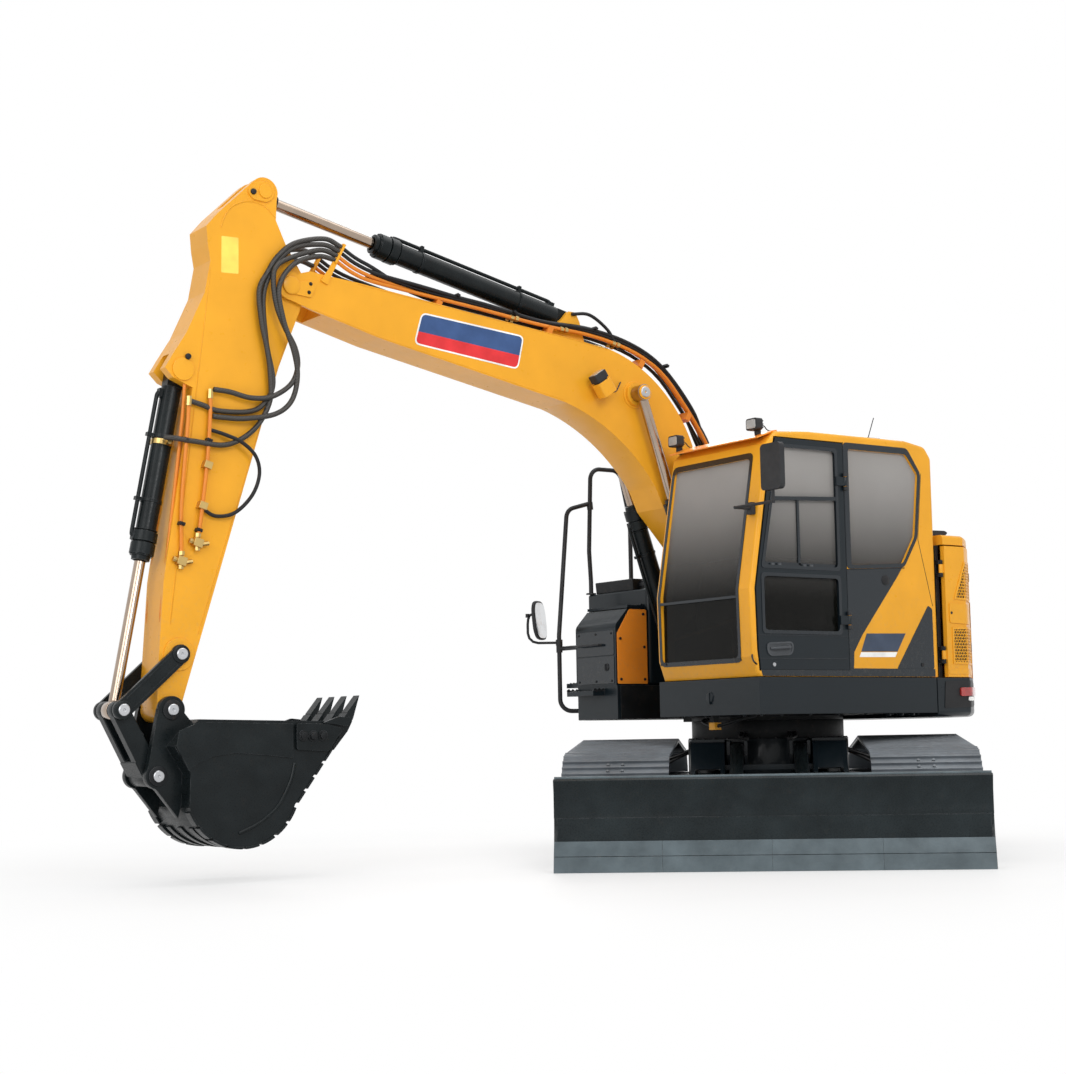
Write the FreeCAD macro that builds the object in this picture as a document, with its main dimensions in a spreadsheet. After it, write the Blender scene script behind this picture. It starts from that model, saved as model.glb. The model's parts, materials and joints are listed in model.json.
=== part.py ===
import FreeCAD, Part
import math
import os
import Sketcher
from FreeCAD import Placement, Rotation, Vector

# Zero tail swing excavator with a dozer blade, in millimetres, +Z up.
# The boom points along +X, the cab stands on the +Y side, the tracks rest on Z = 0.
# The origin lies under the middle of the whole machine's box; axis_x and axis_y
# place the swing axis from there.

doc = FreeCAD.newDocument("zero_tail_excavator")
sheet = doc.addObject("Spreadsheet::Sheet", "Sheet")

SIZES = [
    # alias, millimetres or degrees
    # where the swing axis stands, and how far the undercarriage is turned under it
    ("axis_x", -1448), ("axis_y", -222), ("under_turn", 49.15),
    # clearances: touching, beside a moving piece, round a pin, inside a cylinder
    ("seat", 0.3), ("side_gap", 6), ("pin_play", 0.3), ("gland_play", 0.4), ("panel_gap", 6),
    # tracks
    ("gauge", 2000), ("shoe_width", 700), ("tumbler_gap", 2780), ("end_radius", 362),
    ("top_rise", 88), ("shoe_depth", 26), ("band_depth", 34), ("shoe_count", 44),
    ("shoe_gap", 22),
    # track frames, rollers, idlers and sprockets
    ("frame_width", 240), ("frame_low", 230), ("frame_high", 560), ("frame_slope", 120),
    ("yoke_wall", 30), ("yoke_height", 140), ("bracket_wall", 24), ("bracket_length", 90),
    ("roller_radius", 78), ("roller_count", 7), ("roller_face", 170), ("roller_end", 130),
    ("carrier_radius", 55), ("carrier_face", 140), ("wheel_face", 110), ("wheel_web", 60),
    ("wheel_rim", 60), ("axle_radius", 45), ("drive_radius", 175), ("drive_reach", 190),
    # car body and swing ring
    ("body_radius", 580), ("body_low", 430), ("body_top", 800), ("leg_low", 470),
    ("leg_width", 420), ("leg_near", 150), ("leg_far", 820), ("tow_x", -670), ("tow_y", 170),
    ("tow_z", 515), ("tow_hole", 32), ("tow_wall", 40), ("tow_rim", 45), ("ring_radius", 550),
    ("ring_bore", 400), ("ring_top", 930), ("ring_play", 0.5),
    # towers and pins that carry the blade
    ("tower_wall", 30), ("tower_rear", 380), ("tower_gap", 10), ("blade_pin_x", 950),
    ("blade_pin_z", 500), ("blade_pin", 38), ("blade_boss", 72), ("blade_arm_y", 415),
    ("blade_arm_width", 150), ("blade_arm_low", 150), ("blade_arm_high", 310),
    ("cross_x", 860), ("cross_z", 625),
    # blade and its cylinders
    ("blade_width", 2680), ("blade_x", 2346), ("blade_top_x", 2277), ("blade_height", 574),
    ("blade_plate", 22), ("blade_curve", 620), ("blade_knee", 110), ("blade_back", 110),
    ("blade_cyl_y", 215), ("blade_cyl_x", 780), ("blade_cyl_z", 745), ("blade_eye_x", 2080),
    ("blade_eye_z", 450), ("blade_lug_wall", 22), ("blade_barrel", 46), ("blade_rod", 24),
    ("blade_cyl_pin", 28), ("blade_stroke", 340),
    # deck, skirts and tail
    ("tail_radius", 1480), ("half_width", 1243), ("deck_low", 958), ("deck_top", 1200),
    ("deck_plate", 36), ("deck_front", 1137), ("corner_y", -930), ("corner_x", 800),
    ("skirt_wall", 30), ("tail_joint", -483), ("sill_lap", 3),
    ("bay_front", 430), ("bay_left", 190), ("bay_right", -440), ("mass_back", -1010),
    ("mass_shoulder", 1745), ("mass_round", 40), ("bulkhead_x", -590), ("bulkhead_wall", 30),
    ("bulkhead_half", 1190), ("bulkhead_top", 2130),
    # engine, its covers and hood
    ("engine_length", 370), ("engine_half", 560), ("engine_height", 608),
    ("cover_front", -600), ("cover_top", 2125), ("cover_inset", 4), ("cover_wall", 35),
    ("cover_bevel", 24), ("hood_inset", 10), ("hood_low", 2135), ("hood_top", 2205), ("hood_round", 28),
    ("hood_wall", 35),
    # hinges
    ("hinge_pin", 8), ("hinge_knuckle", 14), ("hinge_half", 30), ("hinge_lug", 26),
    ("hinge_air", 3), ("hinge_out", 20), ("lid_knuckle", 9), ("lid_pin", 5),
    # cab
    ("cab_right", 194), ("cab_left", 1210), ("cab_rear", -545), ("cab_front", 1160),
    ("cab_lift", 6), ("cab_roof", 2855), ("cab_wall", 50), ("roof_depth", 80), ("cab_round", 30),
    ("cab_chin", 1105), ("belt_z", 1780), ("brow_x", 1005), ("brow_z", 2640),
    ("mount_radius", 60), ("door_rear", 315), ("door_sill", 1250), ("door_head", 2790),
    ("door_gap", 8), ("door_axis_y", 1230), ("glass_thick", 6), ("glass_inset", 24),
    # right hand side
    ("box_front", 1030), ("box_rear", 735), ("box_left", -450), ("box_right", -945),
    ("box_top", 1785), ("box_shoulder", 1640), ("box_wall", 30), ("lid_wall", 20),
    ("lid_axis_x", 746), ("lid_axis_z", 1793), ("lid_rear", 761), ("step_height", 34), ("step_reach", 105),
    ("step_width", 330), ("step_y", -760), ("step_z", 1165),
    ("tank_top", 1915), ("oil_top", 2010), ("tank_split", 140), ("tank_right", -1213),
    ("right_gap", 8), ("tank_round", 36), ("box_round", 60),
    ("rail_radius", 17), ("rail_bend", 90), ("rail_x", 1024), ("rail_y", -1170), ("rail_low", 1030),
    ("brace_z", 1500),
    # mirrors
    ("mirror_post", 10), ("mirror_depth", 40), ("mirror_half", 95), ("mirror_height", 300),
    ("mirror_round", 30), ("mirror_x", 1200), ("mirror_y", 1525), ("mirror_foot_z", 2310),
    ("mirror_low", 2385), ("far_mirror_z", 1545), ("far_mirror_low", 1565), ("far_mirror_turn", -34),
    ("far_mirror_out", 235), ("far_mirror_mid", 150), ("far_head_turn", -28),
    # boom, all along the line from foot pin to tip pin
    ("boom_y", -120), ("boom_foot_x", -80), ("boom_foot_z", 1550), ("boom_length", 4516),
    ("boom_angle", 28.5), ("boom_width", 310), ("boom_pin", 45), ("foot_radius", 118),
    ("foot_width", 320), ("foot_bracket", 20), ("tip_pin", 40), ("tip_radius", 92),
    ("fork_depth", 276), ("fork_air", 9), ("boom_eye_x", 1912), ("boom_eye_z", 880),
    ("boom_boss", 80), ("crowd_base_x", 2574), ("crowd_base_z", 1094), ("ear_wall", 40),
    # boom cylinders
    ("lift_x", 435), ("lift_z", 1106), ("lift_y", 235), ("lift_barrel", 62),
    ("lift_rod", 36), ("lift_pin", 40), ("lift_closed", 1560), ("lift_lug", 22),
    ("eye_width", 86),
    # arm and its cylinder
    ("arm_length", 2791), ("arm_angle", -73.1), ("arm_width", 250), ("arm_boss", 118),
    ("nose_radius", 74), ("crowd_eye_x", -514), ("crowd_eye_z", 333), ("crowd_lobe", 94),
    ("crowd_barrel", 72), ("crowd_rod", 38), ("crowd_pin", 35), ("crowd_closed", 1680),
    # bucket, its linkage and cylinder
    ("dump_base_x", 784), ("dump_base_z", 517), ("dump_barrel", 62), ("dump_rod", 34),
    ("dump_pin", 32), ("dump_closed", 1270), ("rocker_x", 2454), ("rocker_z", 34),
    ("rocker_length", 494), ("rocker_plate", 30), ("rocker_half", 54), ("link_length", 444),
    ("link_foot_depth", 130), ("bucket_eye_x", 91), ("bucket_eye_z", -390),
    ("bucket_width", 600), ("bucket_side", 20), ("bucket_wall", 16), ("bowl_radius", 369),
    ("ear_air", 7), ("ear_plate", 45), ("bucket_pin", 33), ("bucket_boss", 82),
    ("tooth_count", 4), ("tooth_pitch", 162), ("tooth_half", 38), ("adapter_half", 46),
]

for row, (alias, value) in enumerate(SIZES, start=1):
    sheet.set(f"A{row}", alias)
    sheet.set(f"B{row}", str(value))
    sheet.setAlias(f"B{row}", alias)
doc.recompute()


class Size:
    """A number from the sheet, or worked out from such numbers, with the expression for it."""

    def __init__(self, value, text):
        self.value = float(value)
        self.text = text

    def __add__(self, other):
        return Size(self.value + number(other), f"({self.text} + {words(other)})")

    def __sub__(self, other):
        return Size(self.value - number(other), f"({self.text} - {words(other)})")

    def __mul__(self, other):
        return Size(self.value * number(other), f"({self.text} * {words(other)})")

    def __truediv__(self, other):
        return Size(self.value / number(other), f"({self.text} / {words(other)})")

    def __radd__(self, other):
        return Size(number(other), words(other)) + self

    def __rsub__(self, other):
        return Size(number(other), words(other)) - self

    def __rmul__(self, other):
        return self * other

    def __neg__(self):
        return Size(-self.value, f"(-1 * {self.text})")


class Sheet:
    """Each cell of the sheet by its alias."""

    def __getattr__(self, alias):
        return Size(sheet.get(alias), f"Sheet.{alias}")


def number(size):
    return size.value if isinstance(size, Size) else float(size)


def words(size):
    return size.text if isinstance(size, Size) else repr(float(size))


s = Sheet()
pieces = []
cuts = []


class Piece:
    """One named node: a PartDesign body whose slabs and discs are padded and pocketed."""

    def __init__(self, name):
        self.name = name
        self.body = doc.addObject("PartDesign::Body", name)
        self.body.Label = name
        self.body.AllowCompound = True
        self.count = 0
        pieces.append(self.body)

    def sketch(self, plane, low, high):
        self.count += 1
        sketch = self.body.newObject("Sketcher::SketchObject", f"{self.name}_outline_{self.count}")
        origin = [item for item in self.body.Origin.OriginFeatures if item.Role == f"{plane}_Plane"]
        sketch.AttachmentSupport = [(origin[0], "")]
        sketch.MapMode = "FlatFace"
        # An XZ sketch faces -Y, so it lies on the far side and is padded back.
        start = -1 * high if plane == "XZ" else low
        sketch.AttachmentOffset = Placement(Vector(0, 0, number(start)), Rotation())
        if isinstance(start, Size):
            sketch.setExpression("AttachmentOffset.Base.z", words(start))
        return sketch

    def solid(self, sketch, low, high, cut):
        kind = "Pocket" if cut else "Pad"
        feature = self.body.newObject(f"PartDesign::{kind}", f"{self.name}_{kind}_{self.count}")
        feature.Profile = sketch
        feature.Refine = False
        length = high - low
        feature.Length = number(length)
        if isinstance(length, Size):
            feature.setExpression("Length", words(length))
        if cut:
            feature.Reversed = True
            cuts.append(feature)
        sketch.Visibility = False
        return feature

    def slab(self, plane, points, low, high, cut=False):
        """An outline of lines, and arcs where a point carries a radius, between two levels."""
        sketch = self.sketch(plane, low, high)
        draw(sketch, points)
        self.solid(sketch, low, high, cut)
        return self

    def box(self, x, y, z, cut=False):
        """A block from its three pairs of limits."""
        corners = [(x[0], y[0]), (x[1], y[0]), (x[1], y[1]), (x[0], y[1])]
        return self.slab("XY", corners, z[0], z[1], cut)

    def disc(self, plane, centre, radius, low, high, cut=False):
        """A round bar between two levels of the plane's own axis."""
        sketch = self.sketch(plane, low, high)
        x, y = centre
        sketch.addGeometry(Part.Circle(Vector(number(x), number(y), 0), Vector(0, 0, 1), number(radius)))
        hold(sketch, "Radius", (0,), radius)
        hold(sketch, "DistanceX", (0, 3), x)
        hold(sketch, "DistanceY", (0, 3), y)
        self.solid(sketch, low, high, cut)
        return self

    def round(self, radius, chosen):
        """Round the edges that the test picks by their middle point and direction."""
        doc.recompute()
        base = self.body.Tip
        names = []
        for index, edge in enumerate(base.Shape.Edges, start=1):
            ends = [vertex.Point for vertex in edge.Vertexes]
            if len(ends) == 2 and chosen((ends[0] + ends[1]) / 2, (ends[1] - ends[0]).normalize()):
                names.append(f"Edge{index}")
        self.count += 1
        fillet = self.body.newObject("PartDesign::Fillet", f"{self.name}_round_{self.count}")
        fillet.Base = (base, names)
        fillet.Radius = number(radius)
        fillet.setExpression("Radius", words(radius))
        return self

    def place(self, frame):
        self.body.Placement = frame
        return self


def hold(sketch, kind, place, size):
    """Fix one measure of a sketch and bind it to its expression."""
    index = sketch.addConstraint(Sketcher.Constraint(kind, *place, number(size)))
    if isinstance(size, Size):
        sketch.setExpression(f"Constraints[{index}]", words(size))


def draw(sketch, points):
    """Close an outline through the points; a third number is the radius of the arc that
    leaves the point, positive where its centre lies on the left."""
    count = len(points)
    for index, point in enumerate(points):
        after = points[(index + 1) % count]
        start = Vector(number(point[0]), number(point[1]), 0)
        end = Vector(number(after[0]), number(after[1]), 0)
        if len(point) == 2:
            sketch.addGeometry(Part.LineSegment(start, end))
            continue
        radius = abs(number(point[2]))
        side = 1 if number(point[2]) > 0 else -1
        chord = end - start
        rise = math.sqrt(max(radius ** 2 - (chord.Length / 2) ** 2, 0))
        across = Vector(-chord.y, chord.x, 0).normalize() * side
        centre = (start + end) / 2 + across * rise
        middle = centre - across * radius
        sketch.addGeometry(Part.Arc(start, middle, end))
    for index, point in enumerate(points):
        after = (index + 1) % count
        ends_at = 2 if arc_keeps_order(points[index]) else 1
        starts_at = 1 if arc_keeps_order(points[after]) else 2
        sketch.addConstraint(Sketcher.Constraint("Coincident", index, ends_at, after, starts_at))
        if len(point) == 3:
            radius = point[2] if number(point[2]) > 0 else -1 * point[2]
            hold(sketch, "Radius", (index,), radius)
    for index, point in enumerate(points):
        starts_at = 1 if arc_keeps_order(point) else 2
        hold(sketch, "DistanceX", (index, starts_at), point[0])
        hold(sketch, "DistanceY", (index, starts_at), point[1])


def arc_keeps_order(point):
    """A sketch stores each arc anticlockwise, so one that turns right is stored backwards."""
    return len(point) == 2 or number(point[2]) > 0


def feature(name, shape):
    """A node whose shape is made by Part's own functions from the sheet's sizes."""
    item = doc.addObject("Part::Feature", name)
    item.Label = name
    item.Shape = shape
    pieces.append(item)
    return item


def rod_path(points, bend):
    """Straight runs through the points, joined by tangent arcs of one radius."""
    edges = []
    start = points[0]
    for before, corner, after in zip(points, points[1:], points[2:]):
        into = (corner - before).normalize()
        out = (after - corner).normalize()
        half = into.getAngle(out) / 2
        reach = bend * math.tan(half)
        first = corner - into * reach
        last = corner + out * reach
        inward = (out - into).normalize()
        middle = corner + inward * (bend / math.cos(half) - bend)
        edges.append(Part.LineSegment(start, first).toShape())
        edges.append(Part.Arc(first, middle, last).toShape())
        start = last
    edges.append(Part.LineSegment(start, points[-1]).toShape())
    return Part.Wire(edges)


def tube(points, radius, bend):
    """A round bar along a bent path."""
    path = rod_path([Vector(*point) for point in points], bend)
    start = path.Edges[0].Vertexes[0].Point
    along = path.Edges[0].tangentAt(path.Edges[0].FirstParameter)
    profile = Part.Wire([Part.Circle(start, along, radius).toShape()])
    shape = path.makePipeShell([profile], True, False)
    if shape.Volume < 0:
        shape.reverse()
    return shape


# Frames: the upper structure, the undercarriage under it, and each piece of the front.
axis = Vector(number(s.axis_x), number(s.axis_y), 0)
upper = Placement(axis, Rotation())
under = Placement(axis, Rotation(Vector(0, 0, 1), number(s.under_turn)))


def front_frame(point, angle):
    """The frame of a piece of the boom and arm: its pin, and its angle above level."""
    base = axis + Vector(point[0], number(s.boom_y), point[1])
    return Placement(base, Rotation(Vector(0, -1, 0), angle))


def along(point, angle, x, z):
    """The place of a pin that a piece carries, from that piece's own pin and angle."""
    turn = math.radians(angle)
    dx = number(x) * math.cos(turn) - number(z) * math.sin(turn)
    dz = number(x) * math.sin(turn) + number(z) * math.cos(turn)
    return point[0] + dx, point[1] + dz


def heading(start, end):
    return math.degrees(math.atan2(end[1] - start[1], end[0] - start[0]))


def distance(start, end):
    return math.hypot(end[0] - start[0], end[1] - start[1])


def meet(first, first_reach, second, second_reach, side):
    """The pin that lies at two given reaches from two pins, on one side of their line."""
    gap = distance(first, second)
    reach = (first_reach ** 2 - second_reach ** 2 + gap ** 2) / (2 * gap)
    rise = math.sqrt(first_reach ** 2 - reach ** 2)
    ux = (second[0] - first[0]) / gap
    uz = (second[1] - first[1]) / gap
    return first[0] + reach * ux - side * rise * uz, first[1] + reach * uz + side * rise * ux


def span(middle, side, near, far):
    """Two levels in rising order, from near to far on one side of the middle."""
    if side > 0:
        return middle + near, middle + far
    return middle - far, middle - near


def turned(points, side):
    """An outline mirrored to one side of its first axis, still anticlockwise."""
    if side > 0:
        return points
    mirrored = [(x, -1 * y) for x, y in points]
    mirrored.reverse()
    return mirrored


def hinge(owner, leaf, plane, centre, levels, strap, lug, knuckle, pin):
    """Knuckles on a leaf between pairs of lugs on its owner, with a pin through them."""
    half = s.hinge_half
    for level in levels:
        leaf.disc(plane, centre, knuckle, level - half, level + half)
        leaf.slab(plane, strap, level - half, level + half)
        for cheek in (1, -1):
            low, high = span(level, cheek, half + s.hinge_air, half + s.hinge_air + s.hinge_lug)
            owner.disc(plane, centre, knuckle, low, high)
            owner.slab(plane, lug, low, high)
        reach = half + s.hinge_air + s.hinge_lug
        owner.disc(plane, centre, pin, level - reach, level + reach)
        leaf.disc(plane, centre, pin + s.pin_play, level - half - 1, level + half + 1, cut=True)


def upright(middle, way):
    """Edges that stand straight up."""
    return abs(way.z) > 0.99


def crosswise(middle, way):
    """Edges that run straight across the machine."""
    return abs(way.y) > 0.99


def at_height(level):
    """A test for level edges at one height."""
    return lambda middle, way: abs(middle.z - number(level)) < 0.5 and abs(way.z) < 0.01


def block(x, y):
    """The plan of a box from its two pairs of limits."""
    return [(x[0], y[0]), (x[1], y[0]), (x[1], y[1]), (x[0], y[1])]


foot = (number(s.boom_foot_x), number(s.boom_foot_z))
boom_turn = number(s.boom_angle)
tip = along(foot, boom_turn, s.boom_length, 0)
lift_eye = along(foot, boom_turn, s.boom_eye_x, s.boom_eye_z)
lift_base = (number(s.lift_x), number(s.lift_z))
crowd_base = along(foot, boom_turn, s.crowd_base_x, s.crowd_base_z)
arm_turn = number(s.arm_angle)
crowd_eye = along(tip, arm_turn, s.crowd_eye_x, s.crowd_eye_z)
bucket_at = along(tip, arm_turn, s.arm_length, 0)
dump_base = along(tip, arm_turn, s.dump_base_x, s.dump_base_z)
rocker_at = along(tip, arm_turn, s.rocker_x, s.rocker_z)
link_foot = along(bucket_at, 0, s.bucket_eye_x, s.bucket_eye_z)
link_head = meet(link_foot, number(s.link_length), rocker_at, number(s.rocker_length), -1)

# ---------------------------------------------------------------- tracks

inner_radius = number(s.end_radius) - number(s.shoe_depth) - number(s.band_depth)
half_gap = s.tumbler_gap / 2
slope_run = math.hypot(number(half_gap), number(s.top_rise))
track_runs = [2 * number(half_gap), math.pi * inner_radius, slope_run, slope_run, math.pi * inner_radius]
track_length = sum(track_runs)
shoe_share = 1 / number(s.shoe_count)
peak_share = sum(track_runs[:3]) / track_length


def track_point(share):
    """A point on the track's inner line and its outward normal, by the share of its length.
    The line runs forward along the ground, round the idler, back over the carrier roller
    and down round the sprocket."""
    half = number(half_gap)
    middle = number(s.end_radius)
    rise = number(s.top_rise)
    run = (share % 1) * track_length
    if run < track_runs[0]:
        return (run - half, middle - inner_radius), (0, -1)
    run -= track_runs[0]
    if run < track_runs[1]:
        turn = run / inner_radius - math.pi / 2
        normal = (math.cos(turn), math.sin(turn))
        return (half + inner_radius * normal[0], middle + inner_radius * normal[1]), normal
    run -= track_runs[1]
    if run < 2 * slope_run:
        share = run / slope_run
        return (half * (1 - share), middle + inner_radius + rise * min(share, 2 - share)), (0, 1)
    turn = (run - 2 * slope_run) / inner_radius + math.pi / 2
    normal = (math.cos(turn), math.sin(turn))
    return (inner_radius * normal[0] - half, middle + inner_radius * normal[1]), normal


def track_loop(side):
    """One track: a closed band of shoes, each a step in its outer line. A shoe's edge lies
    on the peak over the carrier roller."""
    band = number(s.band_depth)
    crest = band + number(s.shoe_depth)
    gap = number(s.shoe_gap) / track_length
    outer = []
    inner = []
    for index in range(int(number(s.shoe_count))):
        start = peak_share + index * shoe_share
        end = start + shoe_share - gap
        for place, depth in ((start, band), (start, crest), (end, crest), (end, band)):
            point, normal = track_point(place)
            outer.append((point[0] + normal[0] * depth, point[1] + normal[1] * depth))
        for place in (start, start + shoe_share / 2):
            inner.append(track_point(place)[0])
    low = side * number(s.gauge) / 2 - number(s.shoe_width) / 2
    faces = []
    for line in (outer, inner):
        corners = [Vector(x, low, z) for x, z in line]
        faces.append(Part.Face(Part.makePolygon(corners + [corners[0]])))
    ring = faces[0].cut(faces[1])
    return ring.extrude(Vector(0, number(s.shoe_width), 0))


for side_name, side in (("left", 1), ("right", -1)):
    feature(f"track_{side_name}", track_loop(side)).Placement = under

# ---------------------------------------------------------------- track frames and wheels

frame_end = half_gap - s.end_radius
inner_line = s.end_radius - s.shoe_depth - s.band_depth
# The band is flat between its joints, so a wheel inside it is that much smaller.
flat = math.cos(shoe_share * track_length / inner_radius / 4)
wheel_radius = inner_line * flat - s.seat
roller_z = s.shoe_depth + s.band_depth + s.seat + s.roller_radius
carrier_z = s.end_radius + inner_line + s.top_rise - s.carrier_radius - 2 * s.seat
track_frames = Piece("track_frames")
rollers = Piece("track_rollers")
sprockets = Piece("sprockets")
idlers = Piece("idlers")
half_frame = s.frame_width / 2
roller_half = s.roller_face / 2
carrier_half = s.carrier_face / 2
bracket_half = s.bracket_length / 2
wheel_half = s.wheel_face / 2
rail = [(-1 * frame_end, s.frame_low), (frame_end, s.frame_low),
        (frame_end, s.frame_high - s.frame_slope / 2), (frame_end - s.frame_slope, s.frame_high),
        (s.frame_slope - frame_end, s.frame_high), (-1 * frame_end, s.frame_high - s.frame_slope / 2)]
yoke_low = s.end_radius - s.yoke_height / 2
yoke_high = s.end_radius + s.yoke_height / 2
for side in (1, -1):
    middle = side * s.gauge / 2
    track_frames.slab("XZ", rail, middle - half_frame, middle + half_frame)
    # Cheeks that carry the idler in front, and the plate that carries the final drive.
    for cheek in (1, -1):
        low, high = span(middle, cheek, half_frame - s.yoke_wall, half_frame)
        track_frames.box((frame_end, half_gap + s.yoke_height / 2), (low, high), (yoke_low, yoke_high))
        if cheek != side:
            track_frames.box((-1 * half_gap - s.yoke_height / 2, -1 * frame_end), (low, high),
                             (yoke_low, yoke_high))
    # Rollers under the frame, each between two brackets.
    step = (frame_end - s.roller_end) * 2 / (s.roller_count - 1)
    for index in range(int(number(s.roller_count))):
        x = s.roller_end - frame_end + index * step
        rollers.disc("XZ", (x, roller_z), s.roller_radius, middle - roller_half, middle + roller_half)
        for cheek in (1, -1):
            low, high = span(middle, cheek, roller_half + s.seat, roller_half + s.seat + s.bracket_wall)
            track_frames.box((x - bracket_half, x + bracket_half), (low, high),
                             (roller_z - bracket_half, s.frame_low))
    rollers.disc("XZ", (0, carrier_z), s.carrier_radius, middle - carrier_half, middle + carrier_half)
    for cheek in (1, -1):
        low, high = span(middle, cheek, carrier_half + s.seat, carrier_half + s.seat + s.bracket_wall)
        track_frames.box((-1 * bracket_half, bracket_half), (low, high),
                         (s.frame_high, carrier_z + s.carrier_radius / 2))
    idlers.disc("XZ", (half_gap, s.end_radius), wheel_radius, middle - wheel_half, middle + wheel_half)
    for cheek in (1, -1):
        low, high = span(middle, cheek, s.wheel_web / 2, wheel_half)
        idlers.disc("XZ", (half_gap, s.end_radius), wheel_radius - s.wheel_rim, low, high, cut=True)
    axle_half = half_frame - s.yoke_wall - s.seat
    idlers.disc("XZ", (half_gap, s.end_radius), s.axle_radius, middle - axle_half, middle + axle_half)
    sprockets.disc("XZ", (-1 * half_gap, s.end_radius), wheel_radius, middle - wheel_half,
                   middle + wheel_half)
    inside, outside = span(middle, side, -1 * axle_half, s.drive_reach)
    sprockets.disc("XZ", (-1 * half_gap, s.end_radius), s.drive_radius, inside, outside)
for piece in (track_frames, rollers, sprockets, idlers):
    piece.place(under)

# ---------------------------------------------------------------- car body and swing ring

car_body = Piece("car_body")
car_body.disc("XY", (0, 0), s.body_radius, s.body_low, s.body_top)
inner_wall = s.gauge / 2 - half_frame
for end in (1, -1):
    for side in (1, -1):
        leg = [(s.leg_near, 300), (s.leg_near + s.leg_width, 160), (s.leg_far, inner_wall),
               (s.leg_far - s.leg_width, inner_wall)]
        leg = turned(leg, side)
        if end < 0:
            leg = [(-1 * x, y) for x, y in leg]
            leg.reverse()
        car_body.slab("XY", leg, s.leg_low, s.frame_high)
for side in (1, -1):
    middle = side * s.tow_y
    low = s.tow_z - s.tow_wall / 2
    high = s.tow_z + s.tow_wall / 2
    car_body.box((s.tow_x, 100 - s.body_radius), (middle - s.tow_rim, middle + s.tow_rim), (low, high))
    car_body.disc("XY", (s.tow_x, middle), s.tow_rim, low, high)
    car_body.disc("XY", (s.tow_x, middle), s.tow_hole, low - 1, high + 1, cut=True)
tower_near = s.blade_arm_width / 2 + s.tower_gap
tower_nose = s.blade_pin_x + s.blade_boss
for side in (1, -1):
    middle = side * s.blade_arm_y
    for cheek in (1, -1):
        low, high = span(middle, cheek, tower_near, tower_near + s.tower_wall)
        wall = [(s.tower_rear, s.body_low), (tower_nose, s.blade_pin_z - s.blade_boss),
                (tower_nose, s.blade_pin_z + s.blade_boss), (s.blade_cyl_x + s.blade_boss, s.body_top - 20),
                (s.tower_rear, s.body_top)]
        car_body.slab("XZ", wall, low, high)
    reach = tower_near + s.tower_wall
    car_body.box((s.tower_rear, s.blade_cyl_x), (middle - reach, middle + reach),
                 (s.body_top - s.tower_wall, s.body_top))
    brow = [(s.blade_cyl_x - 10, s.body_top - s.tower_wall), (s.blade_cyl_x + 65, s.body_top - 52),
            (tower_nose - 50, s.blade_pin_z + 92), (tower_nose - 26, s.blade_pin_z + 100),
            (s.blade_cyl_x + s.blade_boss, s.body_top - 22), (s.blade_cyl_x - 10, s.body_top - 17)]
    car_body.slab("XZ", brow, middle - reach, middle + reach)
    car_body.disc("XZ", (s.blade_pin_x, s.blade_pin_z), s.blade_pin, middle - reach, middle + reach)
    # Feet of the blade's cylinders, between two lugs each.
    middle = side * s.blade_cyl_y
    eye_near = s.eye_width / 2 + s.side_gap
    for cheek in (1, -1):
        low, high = span(middle, cheek, eye_near, eye_near + s.blade_lug_wall)
        lug = [(s.tower_rear, s.frame_high), (s.blade_cyl_x + 45, s.blade_cyl_z - 50),
               (s.blade_cyl_x + 45, s.blade_cyl_z + 40), (s.tower_rear, s.body_top - 10)]
        car_body.slab("XZ", lug, low, high)
    reach = eye_near + s.blade_lug_wall
    car_body.disc("XZ", (s.blade_cyl_x, s.blade_cyl_z), s.blade_cyl_pin, middle - reach, middle + reach)
cross_half = s.blade_arm_y - tower_near - 5
car_body.box((s.cross_x, s.cross_x + 30), (-1 * cross_half, cross_half), (s.cross_z - 35, s.cross_z))
car_body.place(under)

swing_ring = Piece("swing_ring")
swing_ring.disc("XY", (0, 0), s.ring_radius, s.body_top, s.ring_top)
swing_ring.disc("XY", (0, 0), s.ring_bore, s.body_top, s.ring_top, cut=True)
swing_ring.place(under)

# ---------------------------------------------------------------- cylinders and blade


def ram(name, frame, reach, closed, rows, barrel_radius, rod_radius, pin):
    """Barrels and rods side by side in one frame, from the base pin to the rod's eye."""
    barrels = Piece(f"{name}_barrel")
    rods = Piece(f"{name}_rod")
    half = s.eye_width / 2
    neck = barrel_radius * 0.8
    shoulder = barrel_radius + 40
    gland = closed - barrel_radius - 45
    for y in rows:
        barrels.disc("XZ", (0, 0), neck, y - half, y + half)
        barrels.slab("XZ", [(0, -1 * neck), (shoulder + 1, -1 * neck), (shoulder + 1, neck), (0, neck)],
                     y - half, y + half)
        barrels.disc("YZ", (y, 0), barrel_radius, shoulder, gland)
        barrels.disc("YZ", (y, 0), barrel_radius + 6, gland - barrel_radius, gland)
        barrels.disc("YZ", (y, 0), rod_radius + s.gland_play, shoulder + 20, gland + 1, cut=True)
        barrels.disc("XZ", (0, 0), pin + s.pin_play, y - half - 1, y + half + 1, cut=True)
        rods.disc("YZ", (y, 0), rod_radius, reach - closed + shoulder + 60, reach - barrel_radius / 2)
        rods.disc("XZ", (reach, 0), barrel_radius - 4, y - half, y + half)
    barrels.place(frame)
    rods.place(frame)


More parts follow.
